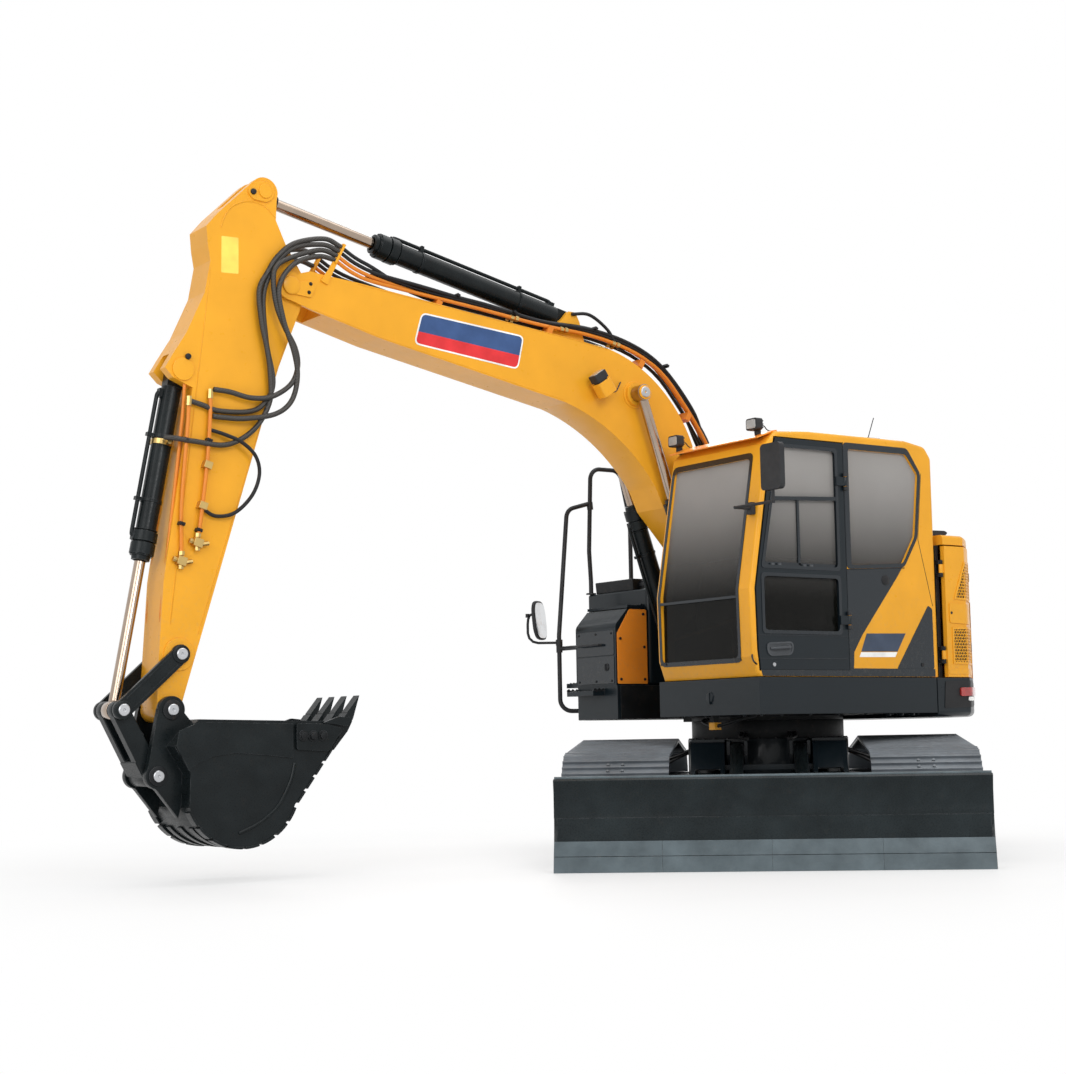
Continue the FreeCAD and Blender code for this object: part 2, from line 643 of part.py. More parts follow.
blade = Piece("dozer_blade")
half_blade = s.blade_width / 2
knee_x = s.blade_x - 28
lip_x = s.blade_top_x + 18
plate = [(s.blade_x, 0), (knee_x, s.blade_knee, -1 * s.blade_curve), (lip_x, s.blade_height - 12),
         (s.blade_top_x, s.blade_height), (s.blade_top_x - 42, s.blade_height),
         (s.blade_top_x - 42, s.blade_height - 20),
         (lip_x - s.blade_plate, s.blade_height - 24, s.blade_curve + s.blade_plate),
         (knee_x - s.blade_plate, s.blade_knee), (s.blade_x - s.blade_plate, 0)]
blade.slab("XZ", plate, -1 * half_blade, half_blade)
blade_rear = s.blade_top_x - s.blade_back
beam = [(blade_rear, 120), (s.blade_x - 50, 120), (s.blade_x - 60, 330), (blade_rear, 330)]
blade.slab("XZ", beam, 20 - half_blade, half_blade - 20)
half_arm = s.blade_arm_width / 2
for side in (1, -1):
    middle = side * s.blade_arm_y
    low = middle - half_arm
    high = middle + half_arm
    lever = [(s.blade_pin_x, s.blade_pin_z - s.blade_boss), (blade_rear + 10, s.blade_arm_low),
             (blade_rear + 10, s.blade_arm_high), (s.blade_pin_x, s.blade_pin_z + s.blade_boss)]
    blade.slab("XZ", lever, low, high)
    blade.disc("XZ", (s.blade_pin_x, s.blade_pin_z), s.blade_boss, low, high)
    blade.disc("XZ", (s.blade_pin_x, s.blade_pin_z), s.blade_pin + s.pin_play, low - 1, high + 1, cut=True)
    for cheek in (1, -1):
        low, high = span(side * s.blade_cyl_y, cheek, eye_near, eye_near + s.blade_lug_wall)
        lug = [(s.blade_eye_x - 45, s.blade_eye_z - 40), (s.blade_top_x - 80, 320),
               (s.blade_top_x - 20, 320), (s.blade_top_x - 20, s.blade_height - 60),
               (s.blade_eye_x - 45, s.blade_eye_z + 45)]
        blade.slab("XZ", lug, low, high)
blade.place(under)
blade_base = (number(s.blade_cyl_x), number(s.blade_cyl_z))
blade_eye = (number(s.blade_eye_x), number(s.blade_eye_z))
blade_ram = Placement(Vector(blade_base[0], 0, blade_base[1]),
                      Rotation(Vector(0, -1, 0), heading(blade_base, blade_eye)))
blade_reach = distance(blade_base, blade_eye)
ram("blade_cylinder", under.multiply(blade_ram), blade_reach, blade_reach - s.blade_stroke / 2,
    (s.blade_cyl_y, -1 * s.blade_cyl_y), s.blade_barrel, s.blade_rod, s.blade_cyl_pin)

# ---------------------------------------------------------------- main frame and skirts

frame_bottom = s.ring_top + s.ring_play
cab_floor = s.deck_top + s.cab_lift
floor_top = frame_bottom + s.deck_plate
left_in = s.half_width - s.skirt_wall
main_frame = Piece("main_frame")
deck_left = [(s.tail_joint, s.bay_left), (s.deck_front - s.skirt_wall, s.bay_left),
             (s.deck_front - s.skirt_wall, left_in), (s.tail_joint, left_in)]
corner_in = s.skirt_wall * 1.6
deck_right = [(s.tail_joint, -1 * left_in), (s.corner_x - s.skirt_wall, -1 * left_in),
              (s.box_front - s.skirt_wall, s.corner_y + corner_in),
              (s.box_front - s.skirt_wall, s.bay_right), (s.tail_joint, s.bay_right)]
main_frame.slab("XY", deck_left, s.deck_low, s.deck_top)
main_frame.slab("XY", deck_right, s.deck_low, s.deck_top)
main_frame.box((s.tail_joint, s.bay_front), (s.bay_right, s.bay_left), (frame_bottom, floor_top))
main_frame.disc("XY", (0, 0), s.ring_radius, frame_bottom, s.deck_low + 1)
main_frame.disc("XY", (0, 0), s.ring_bore - s.side_gap, s.body_top + s.side_gap, frame_bottom + 1)
for side in (1, -1):
    near = s.foot_width / 2 + s.side_gap
    low, high = span(s.boom_y, side, near, near + s.foot_bracket)
    bracket = [(s.tail_joint + 30, floor_top - 1), (s.lift_x + 60, floor_top - 1),
               (s.lift_x + 60, s.lift_z + 20), (s.lift_x + 20, s.lift_z + 60),
               (s.lift_x - 95, s.lift_z + 50), (s.boom_foot_x + 140, s.boom_foot_z - 60),
               (s.boom_foot_x + 120, s.boom_foot_z + 80), (s.boom_foot_x + 20, s.boom_foot_z + 140),
               (s.boom_foot_x - 120, s.boom_foot_z + 90), (s.tail_joint + 30, s.deck_low + 200)]
    main_frame.slab("XZ", bracket, low, high)
    # The outer lug of each boom cylinder's foot, and the pin from the bracket to it.
    lug_near = s.lift_y + s.eye_width / 2 + s.side_gap
    lug_low, lug_high = span(s.boom_y, side, lug_near, lug_near + s.lift_lug)
    lug = [(s.lift_x - 150, floor_top - 1), (s.lift_x + 60, floor_top - 1), (s.lift_x + 60, s.lift_z + 20),
           (s.lift_x + 20, s.lift_z + 60), (s.lift_x - 60, s.lift_z + 60)]
    main_frame.slab("XZ", lug, lug_low, lug_high)
    low, high = span(s.boom_y, side, near, lug_near + s.lift_lug)
    main_frame.disc("XZ", (s.lift_x, s.lift_z), s.lift_pin, low, high)
reach = s.foot_width / 2 + s.side_gap + s.foot_bracket
main_frame.disc("XZ", (s.boom_foot_x, s.boom_foot_z), s.boom_pin, s.boom_y - reach, s.boom_y + reach)
# The wall between the engine and what stands before it, which carries the covers' hinges.
bulkhead_front = s.bulkhead_x + s.bulkhead_wall
main_frame.box((s.bulkhead_x, bulkhead_front), (-1 * s.bulkhead_half, s.bulkhead_half),
               (s.deck_top, s.bulkhead_top))
main_frame.box((s.bulkhead_x, s.tail_joint + s.sill_lap), (-1 * s.bulkhead_half, s.bulkhead_half),
               (s.deck_top, cab_floor - s.seat))
for x in (s.tail_joint + s.mount_radius + s.right_gap, s.cab_chin - 110):
    for y in (s.cab_right + 110, s.cab_left - 110):
        main_frame.disc("XY", (x, y), s.mount_radius, s.deck_top - 1, cab_floor - s.seat)

skirts = Piece("deck_skirts")
skirt_rear = s.tail_joint + s.panel_gap
left_skirt = [(skirt_rear, left_in), (s.deck_front - s.skirt_wall, left_in),
              (s.deck_front - s.skirt_wall, s.bay_left), (s.deck_front, s.bay_left),
              (s.deck_front, s.half_width), (skirt_rear, s.half_width)]
skirts.slab("XY", left_skirt, s.deck_low, s.deck_top)
right_skirt = [(skirt_rear, -1 * s.half_width), (s.corner_x, -1 * s.half_width), (s.box_front, s.corner_y),
               (s.box_front, s.bay_right), (s.box_front - s.skirt_wall, s.bay_right),
               (s.box_front - s.skirt_wall, s.corner_y + corner_in),
               (s.corner_x - s.skirt_wall, -1 * left_in),
               (skirt_rear, -1 * left_in)]
skirts.slab("XY", right_skirt, s.deck_low, s.deck_top)
step_half = s.step_width / 2
skirts.box((s.box_front, s.box_front + s.step_reach), (s.step_y - step_half, s.step_y + step_half),
           (s.step_z - s.step_height, s.step_z))
skirts.place(upper)

# ---------------------------------------------------------------- tail


def tail_plan(front, reach, radius):
    """The plan of the tail: straight sides from the front line, the round behind."""
    knee = -1 * math.sqrt(number(radius) ** 2 - number(reach) ** 2)
    return [(front, -1 * reach), (front, reach), (knee, reach, radius), (-1 * radius, 0, radius),
            (knee, -1 * reach)]


def on_round(radius, x):
    """How far out the round of that radius lies at a distance behind the axis."""
    return math.sqrt(number(radius) ** 2 - number(x) ** 2)


counterweight = Piece("counterweight")
counterweight.slab("XY", tail_plan(s.tail_joint, s.half_width, s.tail_radius), frame_bottom, s.deck_top)
half_mass = on_round(s.tail_radius, s.mass_back)
mass_plan = [(s.mass_back, half_mass, s.tail_radius), (-1 * s.tail_radius, 0, s.tail_radius),
             (s.mass_back, -half_mass)]
counterweight.slab("XY", mass_plan, s.deck_top, s.mass_shoulder)
counterweight.round(s.mass_round, lambda middle, way: at_height(frame_bottom)(middle, way)
                    and middle.x < number(s.tail_joint) - 1)
counterweight.disc("XY", (0, 0), s.ring_radius + s.side_gap, frame_bottom - 1, s.deck_low + s.side_gap,
                   cut=True)
counterweight.place(upper)

engine = Piece("engine")
engine_rear = s.cover_front - s.engine_length
engine.box((engine_rear, s.cover_front), (-1 * s.engine_half, s.engine_half),
           (s.deck_top, s.deck_top + s.engine_height))
engine.place(upper)

cover_reach = s.half_width - s.cover_inset
cover_radius = s.tail_radius - s.cover_inset - 2
cover_back = s.mass_back + s.panel_gap
hinge_x = s.cover_front + s.hinge_out
hinge_y = cover_reach - s.cover_wall / 2
strap_half = s.cover_wall / 4
for side_name, side in (("left", 1), ("right", -1)):
    cover = Piece(f"{side_name}_cover")
    inner_reach = cover_reach - s.cover_wall
    inner_radius_at = cover_radius - s.cover_wall
    bevel_x = cover_back + s.cover_bevel
    outline = [(s.cover_front, side * cover_reach),
               (-1 * on_round(cover_radius, cover_reach), side * cover_reach, side * cover_radius),
               (cover_back, side * on_round(cover_radius, cover_back)),
               (bevel_x, side * on_round(inner_radius_at, bevel_x), -side * inner_radius_at),
               (-1 * on_round(inner_radius_at, inner_reach), side * inner_reach),
               (s.cover_front, side * inner_reach)]
    cover.slab("XY", outline, s.deck_top + s.panel_gap, s.cover_top)
    strap = turned(block((s.cover_front - 4, hinge_x), (hinge_y - strap_half, hinge_y + strap_half)), side)
    lug = turned(block((hinge_x, bulkhead_front), (s.bulkhead_half - 8, hinge_y)), side)
    levels = (s.deck_top + 160, s.cover_top - 160)
    hinge(main_frame, cover, "XY", (hinge_x, side * hinge_y), levels, strap, lug, s.hinge_knuckle,
          s.hinge_pin)
    cover.place(upper)

hood = Piece("engine_hood")
hood_front = s.cover_front + 4
hood_reach = s.half_width - s.hood_inset
hood_radius = s.tail_radius - s.hood_inset - 2
hood_inner = hood_radius - s.hood_wall
hood.slab("XY", tail_plan(hood_front, hood_reach, hood_radius), s.hood_low, s.hood_top)
hood.round(s.hood_round, lambda middle, way: at_height(s.hood_top)(middle, way)
           and middle.x < number(hood_front) - 1)
hood.slab("XY", tail_plan(hood_front - s.hood_wall, hood_reach - s.hood_wall, hood_inner), s.hood_low - 1,
          s.hood_top - s.hood_wall, cut=True)
lip_back = s.mass_back - 8
lip_half = on_round(hood_radius, lip_back)
lip_inner = on_round(hood_inner, lip_back)
rear_wall = [(lip_back, lip_half, hood_radius), (-1 * hood_radius, 0, hood_radius), (lip_back, -lip_half),
             (lip_back, -lip_inner, -1 * hood_inner), (-1 * hood_inner, 0, -1 * hood_inner),
             (lip_back, lip_inner)]
hood.slab("XY", rear_wall, s.mass_shoulder + s.panel_gap, s.hood_low + 10)
hood_axis_x = hood_front + s.hinge_out
hood_axis_z = s.hood_top - s.hinge_knuckle - 4
strap = block((hood_front - 4, hood_axis_x), (hood_axis_z - strap_half, hood_axis_z + strap_half))
lug = block((hood_axis_x, bulkhead_front), (s.bulkhead_top - 8, hood_axis_z))
hinge(main_frame, hood, "XZ", (hood_axis_x, hood_axis_z), (-700, 0, 700), strap, lug, s.hinge_knuckle,
      s.hinge_pin)
hood.place(upper)

# ---------------------------------------------------------------- right hand side

fuel_tank = Piece("fuel_tank")
fuel_tank.box((s.tank_split + s.right_gap, s.box_rear - s.right_gap), (s.tank_right, s.box_left),
              (s.deck_top, s.tank_top))
fuel_tank.round(s.tank_round, upright)
fuel_tank.round(s.tank_round / 2, at_height(s.tank_top))
fuel_tank.place(upper)
oil_tank = Piece("hydraulic_tank")
oil_tank.box((s.tail_joint + s.right_gap, s.tank_split - s.right_gap), (s.tank_right, s.box_left),
             (s.deck_top, s.oil_top))
oil_tank.round(s.tank_round, upright)
oil_tank.round(s.tank_round / 2, at_height(s.oil_top))
oil_tank.place(upper)

toolbox = Piece("toolbox")
lid_low = s.box_top - s.lid_wall
rim = lid_low - s.panel_gap
lid_front = s.box_front - 112
shape = [(s.box_rear, s.deck_top), (s.box_front, s.deck_top), (s.box_front, s.box_shoulder),
         (lid_front + 2, rim), (s.box_rear, rim)]
toolbox.slab("XZ", shape, s.box_right, s.box_left)
toolbox.round(s.box_round, lambda middle, way: crosswise(middle, way)
              and abs(middle.z - number(s.box_shoulder)) < 1)
wall = s.box_wall
inside = [(s.lid_rear, s.deck_top + wall), (s.box_front - wall, s.deck_top + wall),
          (s.box_front - wall, s.box_shoulder - 10), (lid_front - 10, rim - 20), (lid_front - 10, s.box_top),
          (s.lid_rear, s.box_top)]
toolbox.slab("XZ", inside, s.box_right + wall, s.box_left - wall, cut=True)
toolbox.box((s.box_rear, s.box_front - s.skirt_wall - 20), (s.box_right - 200, s.box_right),
            (s.deck_top, s.deck_top + s.step_height))
lid = Piece("toolbox_lid")
lid.box((s.lid_rear, lid_front), (s.box_right, s.box_left), (lid_low, s.box_top))
strap = block((s.lid_axis_x, s.lid_rear + 20), (s.box_top - 1, s.lid_axis_z + 3))
lug = block((s.lid_axis_x - s.lid_knuckle, s.lid_axis_x + 3), (rim - 1, s.lid_axis_z))
lid_levels = (s.box_right + 110, s.box_left - 110)
hinge(toolbox, lid, "XZ", (s.lid_axis_x, s.lid_axis_z), lid_levels, strap, lug, s.lid_knuckle, s.lid_pin)
toolbox.place(upper)
lid.place(upper)

# The outer rail leaves the cut corner of the deck at a right angle.
corner = Vector(number(s.corner_x), -1 * number(s.half_width), number(s.rail_low))
corner_run = Vector(number(s.box_front), number(s.corner_y), number(s.rail_low)) - corner
outward = Vector(corner_run.y, -1 * corner_run.x, 0).normalize()
tank_foot = number(s.tank_top) + number(s.seat)
rail_x = number(s.rail_x)
rail_y = number(s.rail_y)
brace_z = number(s.brace_z)
elbow = Vector(rail_x, rail_y, number(s.rail_low))
rail_start = elbow - outward * ((elbow - corner).dot(outward) - number(s.seat))
rails = [
    [(716, rail_y, tank_foot), (716, rail_y, 2020), (728, rail_y, 2250), (700, rail_y, 2890),
     (420, rail_y, 2890), (330, rail_y, 2500), (330, rail_y, tank_foot)],
    [tuple(rail_start), tuple(elbow), (rail_x, rail_y, 1600), (930, rail_y, 2560), (712, rail_y, 2620)],
    [(rail_x - 1, rail_y, brace_z), (rail_x - 20, rail_y + 40, brace_z),
     (rail_x - 20, number(s.box_right) - number(s.seat), brace_z)],
]
bends = (number(s.rail_bend), number(s.rail_bend), 20)
bars = [tube(line, number(s.rail_radius), bend) for line, bend in zip(rails, bends)]
feature("handrails", bars[0].fuse(bars[1:])).Placement = upper

# ---------------------------------------------------------------- cab

cab = Piece("cab_frame")
w = s.cab_wall
cab_side = [(s.cab_rear, cab_floor), (s.cab_chin, cab_floor), (s.cab_front - 8, cab_floor + 130),
            (s.cab_front, s.belt_z), (s.brow_x, s.brow_z), (s.brow_x - 25, s.brow_z + 110),
            (s.brow_x - 110, s.cab_roof - 20), (s.brow_x - 400, s.cab_roof), (-300, s.cab_roof),
            (s.cab_rear + 60, s.cab_roof - 30), (s.cab_rear, s.cab_roof - 110)]
cab.slab("XZ", cab_side, s.cab_right, s.cab_left)
cab.round(s.cab_round * 2, lambda middle, way: crosswise(middle, way)
          and middle.x < number(s.cab_rear) + 100 and middle.z > number(cab_floor) + 1)
cab.round(s.cab_round, lambda middle, way: abs(way.y) < 0.01 and middle.z > number(cab_floor) + 1)
under_roof = s.cab_roof - s.roof_depth
hollow = [(s.cab_rear + w, cab_floor + w), (s.cab_chin - 30, cab_floor + w),
          (s.cab_front - 8 - w, cab_floor + 150), (s.cab_front - w, s.belt_z),
          (s.brow_x - w - 8, s.brow_z), (s.brow_x - 110, under_roof), (s.cab_rear + w, under_roof)]
cab.slab("XZ", hollow, s.cab_right + w, s.cab_left - w, cut=True)
gap = s.door_gap
door_line = [(s.door_rear, s.door_sill), (s.cab_chin - 8, s.door_sill),
             (s.cab_front - 48, s.door_sill + 130), (s.cab_front - 40, s.belt_z),
             (s.brow_x - 40, s.brow_z), (s.brow_x - 90, s.door_head), (s.door_rear, s.door_head)]
opening = [(s.door_rear - gap, s.door_sill - gap), (s.cab_chin - 2, s.door_sill - gap),
           (s.cab_front - 39, s.door_sill + 127), (s.cab_front - 31, s.belt_z + 1),
           (s.brow_x - 31, s.brow_z + 3), (s.brow_x - 84, s.door_head + gap),
           (s.door_rear - gap, s.door_head + gap)]
cab.slab("XZ", opening, s.cab_left - w - 1, s.cab_left + 1, cut=True)
rear_window = [(-345, 2180), (-225, 1990), (262, 1960), (262, 2755), (-285, 2755), (-395, 2620)]
cab.slab("XZ", rear_window, s.cab_left - w - 1, s.cab_left + 1, cut=True)
right_window = [(-400, 1900), (s.cab_front - 110, 1500), (s.cab_front - 110, s.belt_z),
                (s.brow_x - 110, s.brow_z), (s.brow_x - 150, 2720), (-400, 2720)]
cab.slab("XZ", right_window, s.cab_right - 1, s.cab_right + w + 1, cut=True)
back_pane = (s.cab_right + 110, s.cab_left - 110)
front_pane = (s.cab_right + 60, s.cab_left - 150)
roof_pane = (s.cab_right + 220, s.cab_left - 220)
cab.box((s.cab_rear - 1, s.cab_rear + w + 1), back_pane, (2260, 2700), cut=True)
cab.box((s.brow_x - 120, s.cab_front + 1), front_pane, (1330, s.brow_z + 20), cut=True)
cab.box((100, 620), roof_pane, (s.cab_roof - 90, s.cab_roof + 1), cut=True)

door = Piece("cab_door")
door_in = s.cab_left - w + 2
door_out = s.cab_left + 6
door.slab("XZ", door_line, door_in, door_out)
stile = s.door_rear + 70
upper_pane = [(stile, 1930), (s.cab_front - 105, 1930), (s.brow_x - 95, s.brow_z), (s.brow_x - 135, 2735),
              (stile, 2735)]
lower_pane = [(stile, 1500), (s.cab_front - 100, 1500), (s.cab_front - 100, 1870), (stile, 1870)]
for pane in (upper_pane, lower_pane):
    door.slab("XZ", pane, door_in - 1, door_out + 1, cut=True)
door_axis_x = s.door_rear - s.door_gap / 2
strap = block((door_axis_x, stile + 10), (door_out - 1, s.door_axis_y + 4))
lug = block((door_axis_x - s.hinge_knuckle, door_axis_x), (s.cab_left - 1, s.door_axis_y))
hinge(cab, door, "XY", (door_axis_x, s.door_axis_y), (1584, 2526), strap, lug, s.hinge_knuckle, s.hinge_pin)
cab.place(upper)
door.place(upper)
main_frame.place(upper)

pane_low = s.cab_left - s.glass_inset
pane_high = pane_low + s.glass_thick
door_glass = Piece("door_glass")
for pane in (upper_pane, lower_pane):
    door_glass.slab("XZ", pane, pane_low, pane_high)
door_glass.place(upper)

glass = Piece("cab_glass")
glass.slab("XZ", rear_window, pane_low, pane_high)
glass.slab("XZ", right_window, s.cab_right + 18, s.cab_right + 18 + s.glass_thick)
glass.box((s.cab_rear + 18, s.cab_rear + 18 + s.glass_thick), back_pane, (2260, 2700))
screen = s.cab_front - s.glass_inset
crown = s.brow_x - s.glass_inset + 4
windscreen = [(screen - 6, 1735), (screen, 1735), (screen, s.belt_z), (crown, s.brow_z + 20),
              (crown - 6, s.brow_z + 20), (screen - 6, s.belt_z)]
glass.slab("XZ", windscreen, front_pane[0], front_pane[1])
glass.box((screen - 8, screen - 2), front_pane, (1330, 1729))
glass.box((100, 620), roof_pane, (s.cab_roof - 30, s.cab_roof - 24))
glass.place(upper)

# ---------------------------------------------------------------- seat and controls

cab_mid = (s.cab_right + s.cab_left) / 2
cab_deck = cab_floor + w
seat_base = Piece("seat_base")
seat_base.box((-240, 260), (cab_mid - 200, cab_mid + 200), (cab_deck, 1560))
seat_base.box((-340, -230), (cab_mid - 60, cab_mid + 60), (1480, 1600 - s.seat))
seat_base.place(upper)
cushion = Piece("seat_cushion")
cushion.box((-250 + 30, 290), (cab_mid - 250, cab_mid + 250), (1600, 1700))
cushion.box((-200, 240), (cab_mid - 190, cab_mid + 190), (1560 + s.seat, 1601))
cushion.place(upper)
backrest = Piece("seat_backrest")
lean = [(-340, 1600), (-262, 1600), (-250, 1700), (-345, 2330), (-440, 2330)]
backrest.slab("XZ", lean, cab_mid - 240, cab_mid + 240)
backrest.place(upper)
consoles = Piece("control_consoles")
for side in (1, -1):
    middle = cab_mid + side * 330
    panel = [(-250, 1500), (380, 1500), (430, 1790), (300, 1810), (-200, 1760), (-250, 1700)]
    consoles.slab("XZ", panel, middle - 60, middle + 60)
    consoles.disc("XY", (340, middle), 22, 1780, 1960)
    consoles.box((-200, 200), (middle - 40, middle + 40), (cab_deck, 1501))
    pedal = cab_mid + side * 110
    consoles.box((720, 760), (pedal - 50, pedal + 50), (cab_deck, 1560))
consoles.place(upper)

# ---------------------------------------------------------------- mirrors


def mirror_head(piece, x, y, low):
    """The housing of a mirror, with rounded corners, and the glass side facing back."""
    piece.slab("YZ", block((y - s.mirror_half, y + s.mirror_half), (low, low + s.mirror_height)),
               x, x + s.mirror_depth)
    piece.round(s.mirror_round, lambda middle, way: abs(way.x) > 0.99)


mirror = Piece("mirror_left")
mirror_head(mirror, s.mirror_x, s.mirror_y, s.mirror_low)
post_x = s.mirror_x + s.mirror_depth / 2
mirror.box((1072, 1105), (1125, 1175), (s.mirror_foot_z - 40, s.mirror_foot_z + 40))
mirror.disc("YZ", (1150, s.mirror_foot_z), s.mirror_post, 1100, post_x + s.mirror_post)
mirror.disc("XZ", (post_x, s.mirror_foot_z), s.mirror_post, 1150 - s.mirror_post, s.mirror_y)
mirror.disc("XY", (post_x, s.mirror_y), s.mirror_post, s.mirror_foot_z - s.mirror_post, s.mirror_low + 1)
mirror.place(upper)

mirror = Piece("mirror_right")
head_turn = math.radians(number(s.far_head_turn))
head = []
for across, width in ((-1, -1), (1, -1), (1, 1), (-1, 1)):
    thick = across * number(s.mirror_depth) / 2
    reach = width * number(s.mirror_half)
    head.append((s.far_mirror_mid + thick * math.cos(head_turn) - reach * math.sin(head_turn),
                 thick * math.sin(head_turn) + reach * math.cos(head_turn)))
mirror.slab("XY", head, s.far_mirror_low, s.far_mirror_low + s.mirror_height)
mirror.disc("YZ", (0, s.far_mirror_z), s.mirror_post, s.rail_radius + s.seat,
            s.far_mirror_out + s.mirror_post)
mirror.disc("XY", (s.far_mirror_out, 0), s.mirror_post, s.far_mirror_z - s.mirror_post,
            s.far_mirror_low + 210)
mirror.box((s.far_mirror_mid, s.far_mirror_out), (-14, 14),
           (s.far_mirror_low + 170, s.far_mirror_low + 200))
rail_turn = Rotation(Vector(0, 0, 1), number(s.far_mirror_turn))
rail_point = Placement(Vector(rail_x, rail_y, 0), rail_turn)
mirror.place(upper.multiply(rail_point))

# ---------------------------------------------------------------- boom

boom = Piece("boom")
half_boom = s.boom_width / 2
end = s.boom_length
boom_side = [(-40, -112), (80, -118), (1321, 296), (1457, 396, -1460), (2380, 507), (3821, 66),
             (end - 205, -52), (end, -1 * s.tip_radius), (end, 90), (end - 70, 161), (end - 170, 200),
             (end - 385, 295), (2240, 1051, 1062), (1268, 812), (60, 112)]
boom.slab("XZ", boom_side, -1 * half_boom, half_boom)
half_foot = s.foot_width / 2
boom.disc("XZ", (0, 0), s.foot_radius, -1 * half_foot, half_foot)
boom.disc("XZ", (end, 0), s.tip_radius, -1 * half_boom, half_boom)
boss_reach = s.lift_y - s.eye_width / 2 - s.side_gap
boom.disc("XZ", (s.boom_eye_x, s.boom_eye_z), s.boom_boss, -1 * boss_reach, boss_reach)
slot = s.eye_width / 2 + s.side_gap
for side in (1, -1):
    low, high = span(0, side, slot, slot + s.ear_wall)
    ear = [(s.crowd_base_x - 260, s.crowd_base_z - 190), (s.crowd_base_x + 170, s.crowd_base_z - 290),
           (s.crowd_base_x + 66, s.crowd_base_z - 30), (s.crowd_base_x + 52, s.crowd_base_z + 34),
           (s.crowd_base_x, s.crowd_base_z + 60), (s.crowd_base_x - 60, s.crowd_base_z + 20)]
    boom.slab("XZ", ear, low, high)
half_fork = s.arm_width / 2 + s.fork_air
fork = [(end - s.fork_depth, -400), (end + 300, -400), (end + 300, 500), (end - s.fork_depth, 500)]
boom.slab("XZ", fork, -1 * half_fork, half_fork, cut=True)
boom.disc("XZ", (0, 0), s.boom_pin + s.pin_play, -1 * half_foot - 1, half_foot + 1, cut=True)
boom.disc("XZ", (end, 0), s.tip_pin, -1 * half_boom, half_boom)
ear_reach = slot + s.ear_wall
boom.disc("XZ", (s.crowd_base_x, s.crowd_base_z), s.crowd_pin, -1 * ear_reach, ear_reach)
boom.place(front_frame(foot, boom_turn))

# ---------------------------------------------------------------- arm

arm = Piece("arm")
half_width = s.arm_width / 2
reach = s.arm_length
arm_side = [(s.crowd_eye_x - 80, s.crowd_eye_z - 50), (s.crowd_eye_x, s.crowd_eye_z - 92), (-371, 205),
            (-252, 99), (-90, -90), (60, -122), (373, -97), (568, -80), (reach - 60, -70),
            (reach, -1 * s.nose_radius), (reach, s.nose_radius), (reach - 150, 120), (2054, 258),
            (988, 408), (868, 424), (855, 560), (s.dump_base_x + 33, s.dump_base_z + 112),
            (s.dump_base_x - 60, s.dump_base_z + 90), (557, 561), (269, 522), (61, 545), (-30, 591),
            (-139, 634), (-254, 584), (s.crowd_eye_x - 30, s.crowd_eye_z + 92),
            (s.crowd_eye_x - 80, s.crowd_eye_z + 50)]
arm.slab("XZ", arm_side, -1 * half_width, half_width)
arm.disc("XZ", (s.crowd_eye_x, s.crowd_eye_z), s.crowd_lobe, -1 * half_width, half_width)
arm.disc("XZ", (0, 0), s.arm_boss, -1 * half_width, half_width)
arm.disc("XZ", (reach, 0), s.nose_radius, -1 * half_width, half_width)
top_slot = [(-900, -100), (-330, -100), (-330, 800), (-900, 800)]
arm.slab("XZ", top_slot, -1 * slot, slot, cut=True)
cylinder_slot = [(s.dump_base_x - 82, s.dump_base_z - 82), (1400, s.dump_base_z - 82), (1400, 900),
                 (s.dump_base_x - 82, 900)]
arm.slab("XZ", cylinder_slot, -1 * slot, slot, cut=True)
arm.disc("XZ", (s.dump_base_x, s.dump_base_z), s.dump_pin, -1 * half_width, half_width)
arm.disc("XZ", (0, 0), s.tip_pin + s.pin_play, -1 * half_width - 1, half_width + 1, cut=True)
arm.disc("XZ", (reach, 0), s.bucket_pin + s.pin_play, -1 * half_width - 1, half_width + 1, cut=True)
rocker_reach = half_width + s.side_gap + s.rocker_plate
arm.disc("XZ", (s.rocker_x, s.rocker_z), s.dump_pin, -1 * rocker_reach, rocker_reach)
arm.place(front_frame(tip, arm_turn))

# ---------------------------------------------------------------- bucket linkage

rocker = Piece("rocker_links")
for side in (1, -1):
    low, high = span(0, side, half_width + s.side_gap, rocker_reach)
    bar = [(0, -1 * s.rocker_half), (s.rocker_length, -1 * s.rocker_half),
           (s.rocker_length, s.rocker_half), (0, s.rocker_half)]
    rocker.slab("XZ", bar, low, high)
    rocker.disc("XZ", (0, 0), s.rocker_half + 4, low, high)
    rocker.disc("XZ", (s.rocker_length, 0), s.rocker_half + 4, low, high)
    rocker.disc("XZ", (0, 0), s.dump_pin + s.pin_play, low - 1, high + 1, cut=True)
rocker.place(front_frame(rocker_at, heading(rocker_at, link_head)))

link = Piece("bucket_link")
link_bar = [(0, -60), (s.link_length, -56), (s.link_length, 56), (0, 60)]
link.slab("XZ", link_bar, -1 * half_width, half_width)
link.disc("XZ", (0, 0), 64, -1 * half_width, half_width)
link.disc("XZ", (s.link_length, 0), 58, -1 * half_width, half_width)
tines = [(s.link_foot_depth, -200), (900, -200), (900, 200), (s.link_foot_depth, 200)]
link.slab("XZ", tines, -1 * slot, slot, cut=True)
link.disc("XZ", (0, 0), s.bucket_pin + s.pin_play, -1 * half_width - 1, half_width + 1, cut=True)
link.place(front_frame(link_foot, heading(link_foot, link_head)))

# ---------------------------------------------------------------- bucket

